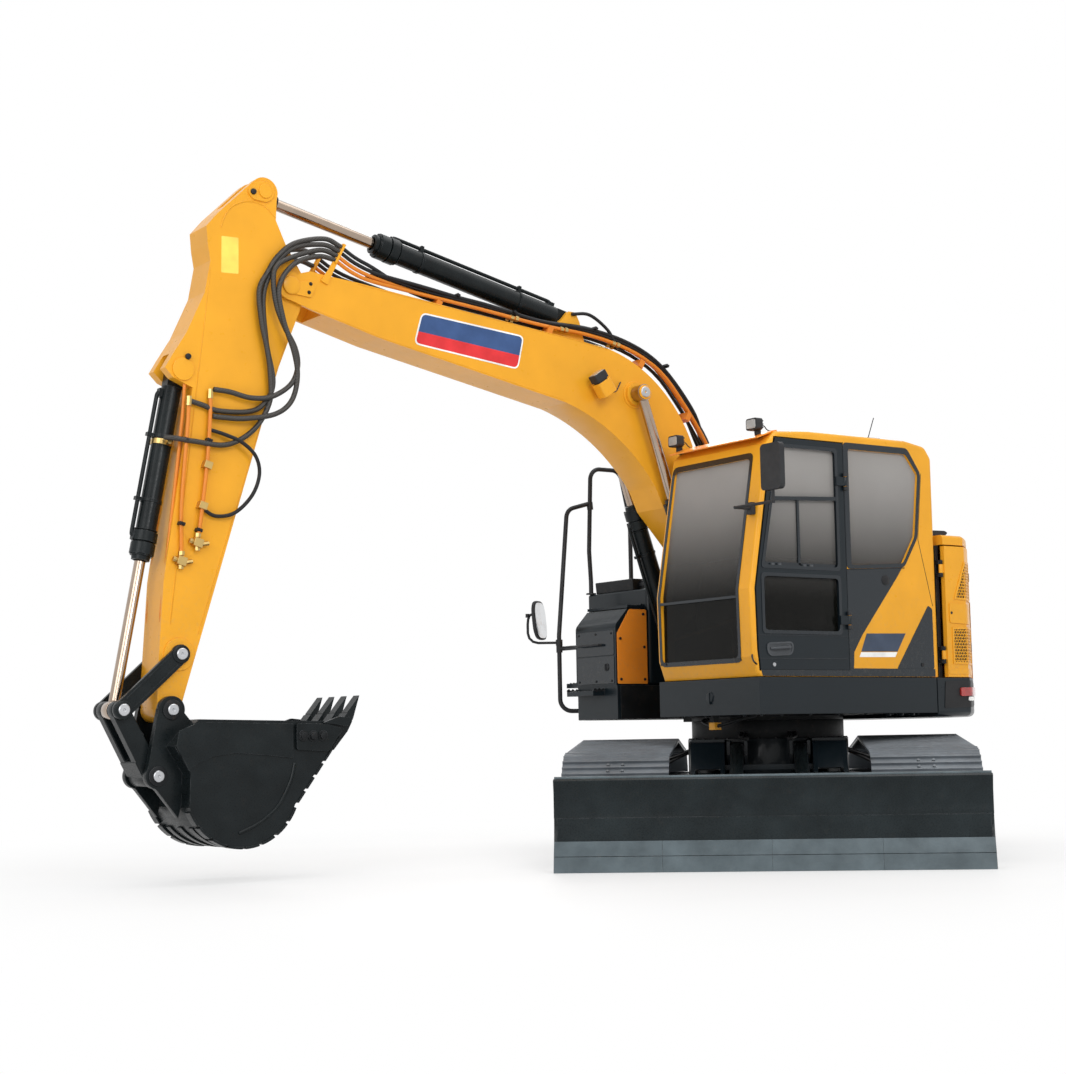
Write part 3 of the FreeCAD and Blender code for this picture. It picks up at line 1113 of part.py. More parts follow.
bucket = Piece("bucket")
half_bucket = s.bucket_width / 2
bowl = s.bowl_radius
ear_near = s.arm_width / 2 + s.ear_air
bucket_side = [(-116, -59), (-969, -78), (-1098, -113), (-1080, -136), (-750, -579, bowl),
               (-404, -820, bowl), (-58, -578), (-63, -373), (40, -215)]
bucket.slab("XZ", bucket_side, -1 * half_bucket, half_bucket)
inside = [(-150, 40), (-1150, 40), (-1086, -91), (-1050, -139), (-734, -570, bowl - s.bucket_wall),
          (-404, -804, bowl - s.bucket_wall), (-74, -570), (-80, -373), (18, -222), (-118, -82)]
bucket.slab("XZ", inside, s.bucket_side - half_bucket, half_bucket - s.bucket_side, cut=True)
for side in (1, -1):
    low, high = span(0, side, ear_near, ear_near + s.ear_plate)
    ear = [(84, 10), (150, -330), (165, -400), (90, -480), (-40, -640), (-60, -560), (-66, -373),
           (34, -216), (-118, -64), (-80, -20)]
    ear.reverse()
    bucket.slab("XZ", ear, low, high)
    bucket.disc("XZ", (0, 0), s.bucket_boss, low, high)
    bucket.disc("XZ", (s.bucket_eye_x, s.bucket_eye_z), 76, low, high)
ear_reach = ear_near + s.ear_plate
bucket.disc("XZ", (0, 0), s.bucket_pin, -1 * ear_reach, ear_reach)
bucket.disc("XZ", (s.bucket_eye_x, s.bucket_eye_z), s.bucket_pin, -1 * ear_reach, ear_reach)
bucket.place(front_frame(bucket_at, 0))

teeth = Piece("bucket_teeth")
for index in range(int(number(s.tooth_count))):
    middle = (index - (s.tooth_count - 1) / 2) * s.tooth_pitch
    adapter = [(-991, -256), (-1023, -256), (-1121, -142), (-1154, -82), (-1118, -30), (-1079, -80),
               (-1101, -110)]
    teeth.slab("XZ", adapter, middle - s.adapter_half, middle + s.adapter_half)
    tooth = [(-1119, -145), (-1166, -62), (-1211, 81), (-1126, -22), (-1110, -75)]
    teeth.slab("XZ", tooth, middle - s.tooth_half, middle + s.tooth_half)
teeth.place(front_frame(bucket_at, 0))

# ---------------------------------------------------------------- cylinders of the front

ram("boom_cylinder", front_frame(lift_base, heading(lift_base, lift_eye)), distance(lift_base, lift_eye),
    s.lift_closed, (s.lift_y, -1 * s.lift_y), s.lift_barrel, s.lift_rod, s.lift_pin)
ram("arm_cylinder", front_frame(crowd_base, heading(crowd_base, crowd_eye)),
    distance(crowd_base, crowd_eye), s.crowd_closed, (0,), s.crowd_barrel, s.crowd_rod, s.crowd_pin)
ram("bucket_cylinder", front_frame(dump_base, heading(dump_base, link_head)),
    distance(dump_base, link_head), s.dump_closed, (0,), s.dump_barrel, s.dump_rod, s.dump_pin)


# ---------------------------------------------------------------- checks and files

doc.recompute()
for item in doc.Objects:
    if "Invalid" in item.State or "Error" in item.State:
        raise RuntimeError(f"{item.Name} failed: {item.State}")
for cut in cuts:
    before = cut.BaseFeature.Shape.Volume
    if not cut.Shape.Volume < before - 1:
        raise RuntimeError(f"{cut.Name} cuts nothing")
os.makedirs("parts", exist_ok=True)
for item in pieces:
    if item.Shape.isNull() or not item.Shape.isValid():
        raise RuntimeError(f"{item.Label} has no valid shape")
    item.Shape.exportStep(f"parts/{item.Label}.step")
    box = item.Shape.BoundBox
    print(f"{item.Label}: {len(item.Shape.Solids)} solids, {item.Shape.Volume / 1e9:.4f} m3, "
          f"x {box.XMin:.0f}..{box.XMax:.0f} y {box.YMin:.0f}..{box.YMax:.0f} "
          f"z {box.ZMin:.0f}..{box.ZMax:.0f}")
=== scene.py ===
"""The looks of a zero tail swing excavator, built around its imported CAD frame."""
import json
import math

import bmesh
import bpy
from mathutils import Matrix, Vector


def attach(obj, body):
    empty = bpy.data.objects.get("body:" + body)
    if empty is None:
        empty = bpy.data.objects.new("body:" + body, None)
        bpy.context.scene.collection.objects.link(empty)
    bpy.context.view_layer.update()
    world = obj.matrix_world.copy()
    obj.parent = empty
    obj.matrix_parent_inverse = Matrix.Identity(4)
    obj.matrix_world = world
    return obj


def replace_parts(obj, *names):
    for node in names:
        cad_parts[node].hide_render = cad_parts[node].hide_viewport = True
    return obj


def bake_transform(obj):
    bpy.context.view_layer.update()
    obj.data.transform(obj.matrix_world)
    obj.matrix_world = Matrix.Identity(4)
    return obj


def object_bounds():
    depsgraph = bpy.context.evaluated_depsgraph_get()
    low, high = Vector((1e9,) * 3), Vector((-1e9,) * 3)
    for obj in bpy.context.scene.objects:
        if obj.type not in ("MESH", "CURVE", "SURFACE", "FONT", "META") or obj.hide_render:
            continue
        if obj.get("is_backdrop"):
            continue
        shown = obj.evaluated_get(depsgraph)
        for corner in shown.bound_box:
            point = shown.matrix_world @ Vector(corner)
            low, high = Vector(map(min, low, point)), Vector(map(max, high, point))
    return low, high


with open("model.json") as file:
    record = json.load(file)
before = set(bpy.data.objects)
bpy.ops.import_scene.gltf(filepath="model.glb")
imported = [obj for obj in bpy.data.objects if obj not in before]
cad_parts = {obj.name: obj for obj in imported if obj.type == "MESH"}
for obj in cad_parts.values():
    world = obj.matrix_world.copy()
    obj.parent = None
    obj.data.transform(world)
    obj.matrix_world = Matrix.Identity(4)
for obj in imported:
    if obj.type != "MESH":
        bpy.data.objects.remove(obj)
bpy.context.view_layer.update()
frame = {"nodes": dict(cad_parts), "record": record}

nodes = frame["nodes"]
scene = bpy.context.scene

# All sizes are in metres. The trim of the cab, deck and tail is drawn from the swing axis, with X ahead
# and Y left.
SWING_AXIS = (-1.448, -0.222, 0)
UNDERCARRIAGE_TURN = 49.15        # degrees, from the cab's way ahead to the blade's
UPPER = Matrix.Translation(SWING_AXIS)
UNDER = UPPER @ Matrix.Rotation(math.radians(UNDERCARRIAGE_TURN), 4, "Z")

# ---------------------------------------------------------------- camera

CAMERA_PLACE = (8.0141, 10.6463, 0.8212)
CAMERA_ANGLES = (235.6872, 5.9362, 0.9974)        # yaw, pitch and roll in degrees
CAMERA_LENS = 65.306                              # millimetres, on a sensor 36 wide

camera_data = bpy.data.cameras.new("camera")
camera_data.sensor_width = 36
camera_data.lens = CAMERA_LENS
camera = bpy.data.objects.new("camera", camera_data)
scene.collection.objects.link(camera)
yaw, pitch, roll = (math.radians(angle) for angle in CAMERA_ANGLES)
ahead = Vector((math.cos(yaw) * math.cos(pitch), math.sin(yaw) * math.cos(pitch), math.sin(pitch)))
right = ahead.cross(Vector((0, 0, 1))).normalized()
above = right.cross(ahead)
side_way = math.cos(roll) * right - math.sin(roll) * above
up_way = math.sin(roll) * right + math.cos(roll) * above
camera.matrix_world = (Matrix.Translation(CAMERA_PLACE)
                       @ Matrix((side_way, up_way, -ahead)).transposed().to_4x4())
camera_data.clip_end = 200
scene.camera = camera

# ---------------------------------------------------------------- materials

DUST, PALE_DUST, SOIL = (0.3, 0.25, 0.19), (0.35, 0.34, 0.31), (0.16, 0.11, 0.075)
RUBBED_STEEL = (0.32, 0.33, 0.35)


class Shader:
    """A node material being wired: each call adds one node and returns its output."""

    def __init__(self, name):
        self.material = bpy.data.materials.new(name)
        self.material.use_nodes = True
        self.tree = self.material.node_tree
        self.surface = self.tree.nodes["Principled BSDF"]
        self.place = self.tree.nodes.new("ShaderNodeTexCoord").outputs["Object"]

    def feed(self, socket, value):
        """Links an output to a socket, or gives the socket a plain value."""
        if hasattr(value, "links"):
            self.tree.links.new(value, socket)
        elif isinstance(value, tuple) and len(socket.default_value) == 4:
            socket.default_value = (*value, 1)
        else:
            socket.default_value = value

    def set(self, **values):
        for name, value in values.items():
            self.feed(self.surface.inputs[name.replace("_", " ")], value)
        return self

    def node(self, kind, out=0, settings=(), **inputs):
        made = self.tree.nodes.new(kind)
        for name, value in dict(settings).items():
            setattr(made, name, value)
        for name, value in inputs.items():
            key = int(name[1:]) if name[0] == "i" and name[1:].isdigit() else name.replace("_", " ")
            self.feed(made.inputs[key], value)
        return made.outputs[out]

    def stretched(self, scale):
        return self.node("ShaderNodeMapping", Vector=self.place, Scale=scale)

    def noise(self, scale, detail=4, rough=0.5, place=None):
        return self.node("ShaderNodeTexNoise", Vector=place or self.place, Scale=scale, Detail=detail,
                         Roughness=rough)

    def spread(self, value, low, high, to_low=0.0, to_high=1.0):
        return self.node("ShaderNodeMapRange", Value=value, From_Min=low, From_Max=high, To_Min=to_low,
                         To_Max=to_high)

    def maths(self, kind, one, two=0.0):
        return self.node("ShaderNodeMath", settings={"operation": kind}, i0=one, i1=two)

    def mixed(self, share, one, two):
        return self.node("ShaderNodeMix", 2, {"data_type": "RGBA"}, i0=share, i6=one, i7=two)

    def height(self):
        return self.node("ShaderNodeSeparateXYZ", 2, Vector=self.place)

    def bump(self, value, strength, distance, under=None):
        below = {"Normal": under} if under else {}
        return self.node("ShaderNodeBump", Strength=strength, Distance=distance, Height=value, **below)

    def worn_edge(self, radius):
        """1 along sharp edges and 0 on flats, from how far rounding would turn the normal."""
        soft = self.node("ShaderNodeBevel", Radius=radius)
        flat = self.node("ShaderNodeNewGeometry", 1)
        dot = self.node("ShaderNodeVectorMath", 1, {"operation": "DOT_PRODUCT"}, i0=soft, i1=flat)
        return self.spread(dot, 0.97, 0.75)


def paint(name, colour, low_z=0.0, gloss=0.3, coat=0.12, split=None, dusty=0.35):
    """Sprayed paint: orange peel and dust that gathers low down."""
    s = Shader(name)
    shade = s.spread(s.noise(3.1, 3), 0.3, 0.7)
    base = s.mixed(shade, tuple(c * 0.94 for c in colour), tuple(min(1, c * 1.05) for c in colour))
    if split:
        level, lower = split
        base = s.mixed(s.maths("LESS_THAN", s.height(), level), base, lower)
    specks = s.spread(s.noise(38, 6, 0.7), 0.52, 0.78)
    low = s.spread(s.height(), low_z + 1.1, low_z)
    dust = s.maths("MULTIPLY", s.maths("MULTIPLY", specks, low), dusty)
    base = s.mixed(dust, base, DUST)
    s.set(Base_Color=base, Roughness=s.spread(s.noise(21, 5, 0.6), 0.25, 0.75, gloss - 0.05, gloss + 0.09),
          Coat_Weight=coat, Coat_Roughness=0.08, Specular_IOR_Level=0.22)
    return s.set(Normal=s.bump(s.noise(260, 2), 0.05, 0.001, s.bump(s.noise(3.5, 2), 0.12, 0.004))).material


def bare_metal(name, colour, gloss, grain):
    """Turned or ground metal: fine lines one way, with a few darker patches."""
    s = Shader(name)
    lines = s.noise(18, 4, 0.6, s.stretched(grain))
    patch = s.spread(s.noise(6, 4), 0.35, 0.75)
    base = s.mixed(s.maths("MULTIPLY", patch, 0.5), colour, tuple(c * 0.6 for c in colour))
    s.set(Base_Color=base, Metallic=1.0, Roughness=s.spread(lines, 0.2, 0.8, gloss - 0.06, gloss + 0.1))
    return s.set(Normal=s.bump(lines, 0.08, 0.0006)).material


def rough_steel(name, colour, rust, gloss, wear=0.6, shiny=0.2):
    """Cast or rolled steel in black paint: pitted, dusty in patches, rubbed bright along its edges."""
    s = Shader(name)
    pits = s.noise(95, 6, 0.65)
    cloud = s.spread(s.noise(4.2, 5, 0.6), 0.35, 0.72)
    base = s.mixed(cloud, colour, tuple(c * 1.7 + 0.004 for c in colour))
    soil = s.maths("MULTIPLY", s.spread(s.noise(17, 7, 0.75), 0.55, 0.8), rust)
    base = s.mixed(soil, base, SOIL)
    rubbed = s.maths("MULTIPLY", s.maths("MULTIPLY", s.worn_edge(0.006), s.spread(s.noise(23, 6), 0.42, 0.6)),
                     wear)
    base = s.mixed(rubbed, base, RUBBED_STEEL)
    s.set(Base_Color=base, Metallic=s.maths("MULTIPLY", rubbed, 0.8),
          Roughness=s.spread(pits, 0.3, 0.7, gloss - 0.1, gloss + 0.14), Specular_IOR_Level=shiny)
    return s.set(Normal=s.bump(pits, 0.22, 0.0015, s.bump(s.noise(9, 4), 0.15, 0.004))).material


def moulded(name, colour, gloss=0.5, grain=420, depth=0.25):
    """Moulded plastic or rubber with a leather-like grain."""
    s = Shader(name)
    cells = s.node("ShaderNodeTexVoronoi", Vector=s.place, Scale=grain)
    cloud = s.spread(s.noise(7, 4), 0.3, 0.7)
    s.set(Base_Color=s.mixed(cloud, colour, tuple(c * 1.35 + 0.003 for c in colour)),
          Roughness=s.spread(s.noise(31, 4), 0.3, 0.7, gloss - 0.07, gloss + 0.08), Specular_IOR_Level=0.25)
    return s.set(Normal=s.bump(cells, depth, 0.0006)).material


def tinted_glass(name, dark, pale, low_z, high_z, see=0.2):
    """Smoked glass with a painted reflection: dark at its foot and pale above, over a faintly visible inside.
    """
    s = Shader(name)
    wave = s.spread(s.noise(1.4, 3), 0.3, 0.7, 0.88, 1.0)
    rise = s.node("ShaderNodeMapRange", settings={"interpolation_type": "SMOOTHSTEP"}, i0=s.height(),
                  i1=low_z, i2=high_z)
    # painted reflection: the rise from the dark to the pale colour by height, which also makes the glass less
    # see-through
    painted_reflection = s.maths("MULTIPLY", rise, wave)
    dust = s.spread(s.noise(5, 6, 0.7), 0.5, 0.85)
    base = s.mixed(s.maths("MULTIPLY", dust, 0.02), s.mixed(painted_reflection, dark, pale), PALE_DUST)
    return s.set(Base_Color=base, Roughness=0.04, Alpha=s.spread(painted_reflection, 0, 1, 1 - see, 1 - see * 0.6),
                 Specular_IOR_Level=0.12).material


def woven(name, colour):
    """Seat cloth: two crossing sets of yarn with colour flecks."""
    s = Shader(name)
    warp = s.node("ShaderNodeTexWave", Vector=s.place, Scale=110.0, Distortion=0.6)
    weft = s.node("ShaderNodeTexWave", settings={"bands_direction": "Z"}, Vector=s.place, Scale=110.0,
                  Distortion=0.6)
    yarn = s.maths("MULTIPLY", warp, weft)
    fleck = s.spread(s.noise(160, 2), 0.45, 0.6)
    s.set(Base_Color=s.mixed(fleck, colour, tuple(c * 1.9 + 0.01 for c in colour)), Roughness=0.86,
          Sheen_Weight=0.35, Sheen_Roughness=0.5)
    return s.set(Normal=s.bump(yarn, 0.5, 0.001)).material


def braided(name, colour):
    """A hose's wound sleeve: fine slanted bands round the tube."""
    s = Shader(name)
    bands = s.node("ShaderNodeTexWave", settings={"bands_direction": "DIAGONAL"}, Vector=s.place, Scale=34.0,
                   Distortion=1.5)
    s.set(Base_Color=s.mixed(bands, tuple(c * 0.35 for c in colour), colour), Roughness=0.5)
    return s.set(Normal=s.bump(bands, 0.5, 0.002)).material


def lamp_lens(name, colour, see=0.25):
    """A ribbed clear or coloured lens."""
    s = Shader(name)
    ribs = s.node("ShaderNodeTexWave", settings={"bands_direction": "Z"}, Vector=s.place, Scale=60.0)
    s.set(Base_Color=s.mixed(s.spread(s.noise(12), 0.3, 0.7), colour, tuple(c * 0.8 for c in colour)),
          Roughness=0.08, Transmission_Weight=see, Coat_Weight=0.8)
    return s.set(Normal=s.bump(ribs, 0.4, 0.002)).material


YELLOW = (0.82, 0.375, 0.022)
SLATE = (0.0065, 0.0115, 0.0155)
mats = {
    "yellow": paint("body_yellow", YELLOW, 1.0),
    "tail": paint("tail_two_tone", YELLOW, 0.9, split=(1.2, SLATE), dusty=0.03),
    "slate": paint("frame_slate", SLATE, 0.2, 0.34, dusty=0.04),
    "orange": paint("tube_orange", (0.7, 0.22, 0.02), 1.0),
    "black": rough_steel("tool_black", (0.003, 0.0052, 0.006), 0.04, 0.3, wear=0.25),
    "blade": rough_steel("blade_slate", (0.0055, 0.0095, 0.011), 0.05, 0.28, wear=0.3),
    "track": rough_steel("track_steel", (0.078, 0.09, 0.102), 0.22, 0.36, shiny=0.5),
    "cast": rough_steel("cast_dark", (0.006, 0.007, 0.008), 0.25, 0.46, wear=0.3),
    "chrome": bare_metal("rod_chrome", (0.43, 0.34, 0.27), 0.14, (1, 1, 9)),
    "pin": bare_metal("pin_steel", (0.55, 0.56, 0.58), 0.32, (1, 9, 1)),
    "brass": bare_metal("coupling_brass", (0.62, 0.43, 0.16), 0.3, (9, 1, 1)),
    # the window glass's pale upper part is a painted reflection
    "glass": tinted_glass("window_glass", (0.006, 0.006, 0.005), (0.36, 0.345, 0.33), 1.68, 2.66),
    "cloth": woven("seat_fabric", (0.035, 0.037, 0.042)),
    "plastic": moulded("cab_plastic", (0.02, 0.021, 0.023)),
    "rubber": moulded("hose_rubber", (0.01, 0.01, 0.011), 0.42, 900, 0.15),
    "rail": moulded("rail_black", (0.014, 0.015, 0.017), 0.36, 700, 0.12),
    # pale steel: the cutting edge's own colour, and a painted highlight on the blade's top bar
    "edge": rough_steel("edge_steel_and_highlight", (0.068, 0.088, 0.098), 0.08, 0.36, wear=0.3),
    "gloss": paint("panel_gloss", (0.009, 0.014, 0.019), 0.6, 0.16, 0.4),
    "mirror": bare_metal("mirror_silver", (0.75, 0.76, 0.77), 0.04, (1, 1, 1)),
    "navy": moulded("sign_navy", (0.042, 0.058, 0.092), 0.35, 900, 0.05),
    # an orange, slightly darker copy of the yellow paint: painted shade for yellow faces that lie in shade
    "orange_panel": paint("yellow_painted_shade", (0.92, 0.3, 0.03), 0.9),
    "pale_yellow": moulded("label_yellow", (0.8, 0.58, 0.1), 0.4, 900, 0.05),
    "hose": braided("hose_sleeve", (0.045, 0.04, 0.034)),
    "glass_dark": tinted_glass("screen_glass", (0.008, 0.01, 0.012), (0.02, 0.024, 0.028), 1.9, 2.2, 0.0),
    "handle": moulded("handle_grey", (0.055, 0.06, 0.066), 0.35, 700, 0.1),
    "lining": moulded("cab_lining", (0.012, 0.012, 0.013), 0.7),
    "red": lamp_lens("lens_red", (0.55, 0.02, 0.015)),
    "clear": lamp_lens("lens_clear", (0.8, 0.8, 0.78), 0.5),
    "amber": lamp_lens("lens_amber", (0.8, 0.22, 0.01)),
    "white": moulded("sign_white", (0.78, 0.78, 0.76), 0.4, 900, 0.05),
    "blue": moulded("sign_blue", (0.035, 0.075, 0.19), 0.35, 900, 0.05),
    "sign_red": moulded("sign_red", (0.6, 0.03, 0.035), 0.35, 900, 0.05),
}
# the frame's slot listed for each finish of the trim, unless a piece names another; a kit keeps it, but
# nothing here gives it to the piece
SLOTS = {finish: slot for slot, finishes in {
    "body_yellow": "yellow orange orange_panel pale_yellow white blue sign_red red amber",
    "cab_plastic": "plastic rubber handle hose lining", "frame_slate": "slate gloss navy",
    "rod_chrome": "pin brass mirror", "track_steel": "track blade edge", "window_glass": "clear glass_dark",
    "tool_black": "black", "cast_dark": "cast", "rail_black": "rail", "seat_fabric": "cloth",
}.items() for finish in finishes.split()}

# ---------------------------------------------------------------- finishes of the CAD nodes

# finish, the edges' rounding in metres, nodes
FINISHES = [
    ("track", 0.002, "track_left track_right"),
    ("slate", 0.008, "track_frames car_body toolbox_lid cab_door"),
    ("cast", 0.006, "track_rollers sprockets idlers main_frame"),
    ("cast", 0.004, "swing_ring"),
    ("blade", 0.006, "dozer_blade"),
    ("black", 0.005, "blade_cylinder_barrel boom_cylinder_barrel arm_cylinder_barrel bucket_cylinder_barrel"),
    ("chrome", 0.003, "blade_cylinder_rod boom_cylinder_rod arm_cylinder_rod bucket_cylinder_rod"),
    ("slate", 0.012, "deck_skirts"),
    ("tail", 0.03, "counterweight"),
    ("cast", 0.02, "engine"),
    ("yellow", 0.014, "left_cover right_cover"),
    ("yellow", 0.02, "engine_hood"),
    ("slate", 0.03, "fuel_tank"),
    ("yellow", 0.03, "hydraulic_tank"),
    ("slate", 0.02, "toolbox"),
    ("rail", 0, "handrails"),
    ("yellow", 0.016, "cab_frame"),
    ("glass", 0, "door_glass cab_glass"),
    ("plastic", 0.012, "seat_base"),
    ("cloth", 0.012, "seat_cushion seat_backrest"),
    ("plastic", 0.014, "control_consoles"),
    ("yellow", 0.008, "boom arm"),
    ("black", 0.008, "rocker_links bucket_link"),
    ("black", 0.006, "bucket bucket_teeth"),
    ("plastic", 0.006, "mirror_left mirror_right"),
]


def bevel(piece, width, segments, angle):
    """Rounds the edges sharper than an angle in degrees."""
    edge = piece.modifiers.new("edge", "BEVEL")
    edge.width = width
    edge.segments = segments
    edge.limit_method = "ANGLE"
    edge.angle_limit = math.radians(angle)
    edge.harden_normals = True
    return edge


def dress(node, finish, rounding):
    """Gives a CAD node its finish, and softens its edges with modifiers alone."""
    piece = nodes[node]
    piece.data.materials.clear()
    piece.data.materials.append(mats[finish])
    if rounding:
        weld = piece.modifiers.new("weld", "WELD")
        weld.merge_threshold = 0.00002
        flat = piece.modifiers.new("flat", "DECIMATE")
        flat.decimate_type = "DISSOLVE"
        flat.angle_limit = math.radians(0.6)
        bevel(piece, rounding, 3, 32).miter_outer = "MITER_ARC"


for finish, rounding, names in FINISHES:
    for node in names.split():
        dress(node, finish, rounding)

# ---------------------------------------------------------------- building trim

SIDES = ((1, "left"), (-1, "right"))


def pin_frame(joint, angle):
    """The frame of a piece along its own line, with its origin on a joint's pin."""
    rows = frame["record"]["behaviour"]["joints"]
    place = next(row["pos_m"] for row in rows if row["name"] == joint)
    return Matrix.Translation(place) @ Matrix.Rotation(math.radians(-angle), 4, "Y")


BOOM = pin_frame("boom_lift", 28.5)
ARM = pin_frame("arm_crowd", -73.1)
BUCKET = pin_frame("bucket_curl", 0)


def bent(points):
    """A tube's line, with each corner cut twice into a curve."""
    points = [Vector(point) for point in points]
    for _ in range(2):
        cut = [points[0]]
        for one, two in zip(points, points[1:]):
            cut += [one.lerp(two, 0.22), one.lerp(two, 0.78)]
        points = cut + [points[-1]]
    return points


def flowing(points, steps=8):
    """A hose's line, smooth through its points."""
    points = [Vector(point) for point in points]
    line = [points[0] * 2 - points[1]] + points + [points[-1] * 2 - points[-2]]
    made = []
    for a, b, c, d in zip(line, line[1:], line[2:], line[3:]):
        for step in range(steps):
            t = step / steps
            made.append(0.5 * (2 * b + (c - a) * t + (2 * a - 5 * b + 4 * c - d) * t * t
                               + (3 * b - a - 3 * c + d) * t ** 3))
    return made + [points[-1]]


def rect(u, u_end, v, v_end):
    """A rectangle's outline."""
    return [(u, v), (u_end, v), (u_end, v_end), (u, v_end)]


def around(count, radius, start=0.0):
    """Points spaced evenly round a circle, such as a ring of bolts."""
    turns = [2 * math.pi * (index + start) / count for index in range(count)]
    return [(radius * math.cos(turn), radius * math.sin(turn)) for turn in turns]


def span(side, near, far):
    """Two distances from the middle plane, on one side, in rising order."""
    return sorted((side * near, side * far))


def with_neighbours(points):
    """Each corner of a closed outline between the corners before and after it."""
    return zip([points[-1]] + points[:-1], points, points[1:] + points[:1])


def ring_of(points, grow):
    """A closed outline moved outward by a distance, for a border round an opening."""
    middle = [sum(point[k] for point in points) / len(points) for k in (0, 1)]
    made = []
    for before, here, after in with_neighbours(points):
        ways = []
        for one, two in ((before, here), (here, after)):
            across = Vector((two[1] - one[1], one[0] - two[0])).normalized()
            out = Vector((here[0] - middle[0], here[1] - middle[1]))
            ways.append(across if across.dot(out) > 0 else -across)
        corner = (ways[0] + ways[1]).normalized()
        made.append((here[0] + corner.x * grow / max(corner.dot(ways[0]), 0.4),
                     here[1] + corner.y * grow / max(corner.dot(ways[0]), 0.4)))
    return made


def soft_corners(points, radius, steps=4):
    """An outline with its corners rounded, by one radius or by one for each corner."""
    made = []
    radii = radius if isinstance(radius, tuple) else (radius,) * len(points)
    for (before, here, after), radius in zip(with_neighbours(points), radii):
        if not radius:
            made.append(tuple(here))
            continue
        here = Vector(here)
        one, two = Vector(before) - here, Vector(after) - here
        start = here + one.normalized() * min(radius, one.length / 2)
        end = here + two.normalized() * min(radius, two.length / 2)
        for step in range(steps + 1):
            t = step / steps
            made.append(tuple(start * (1 - t) ** 2 + here * 2 * t * (1 - t) + end * t * t))
    return made


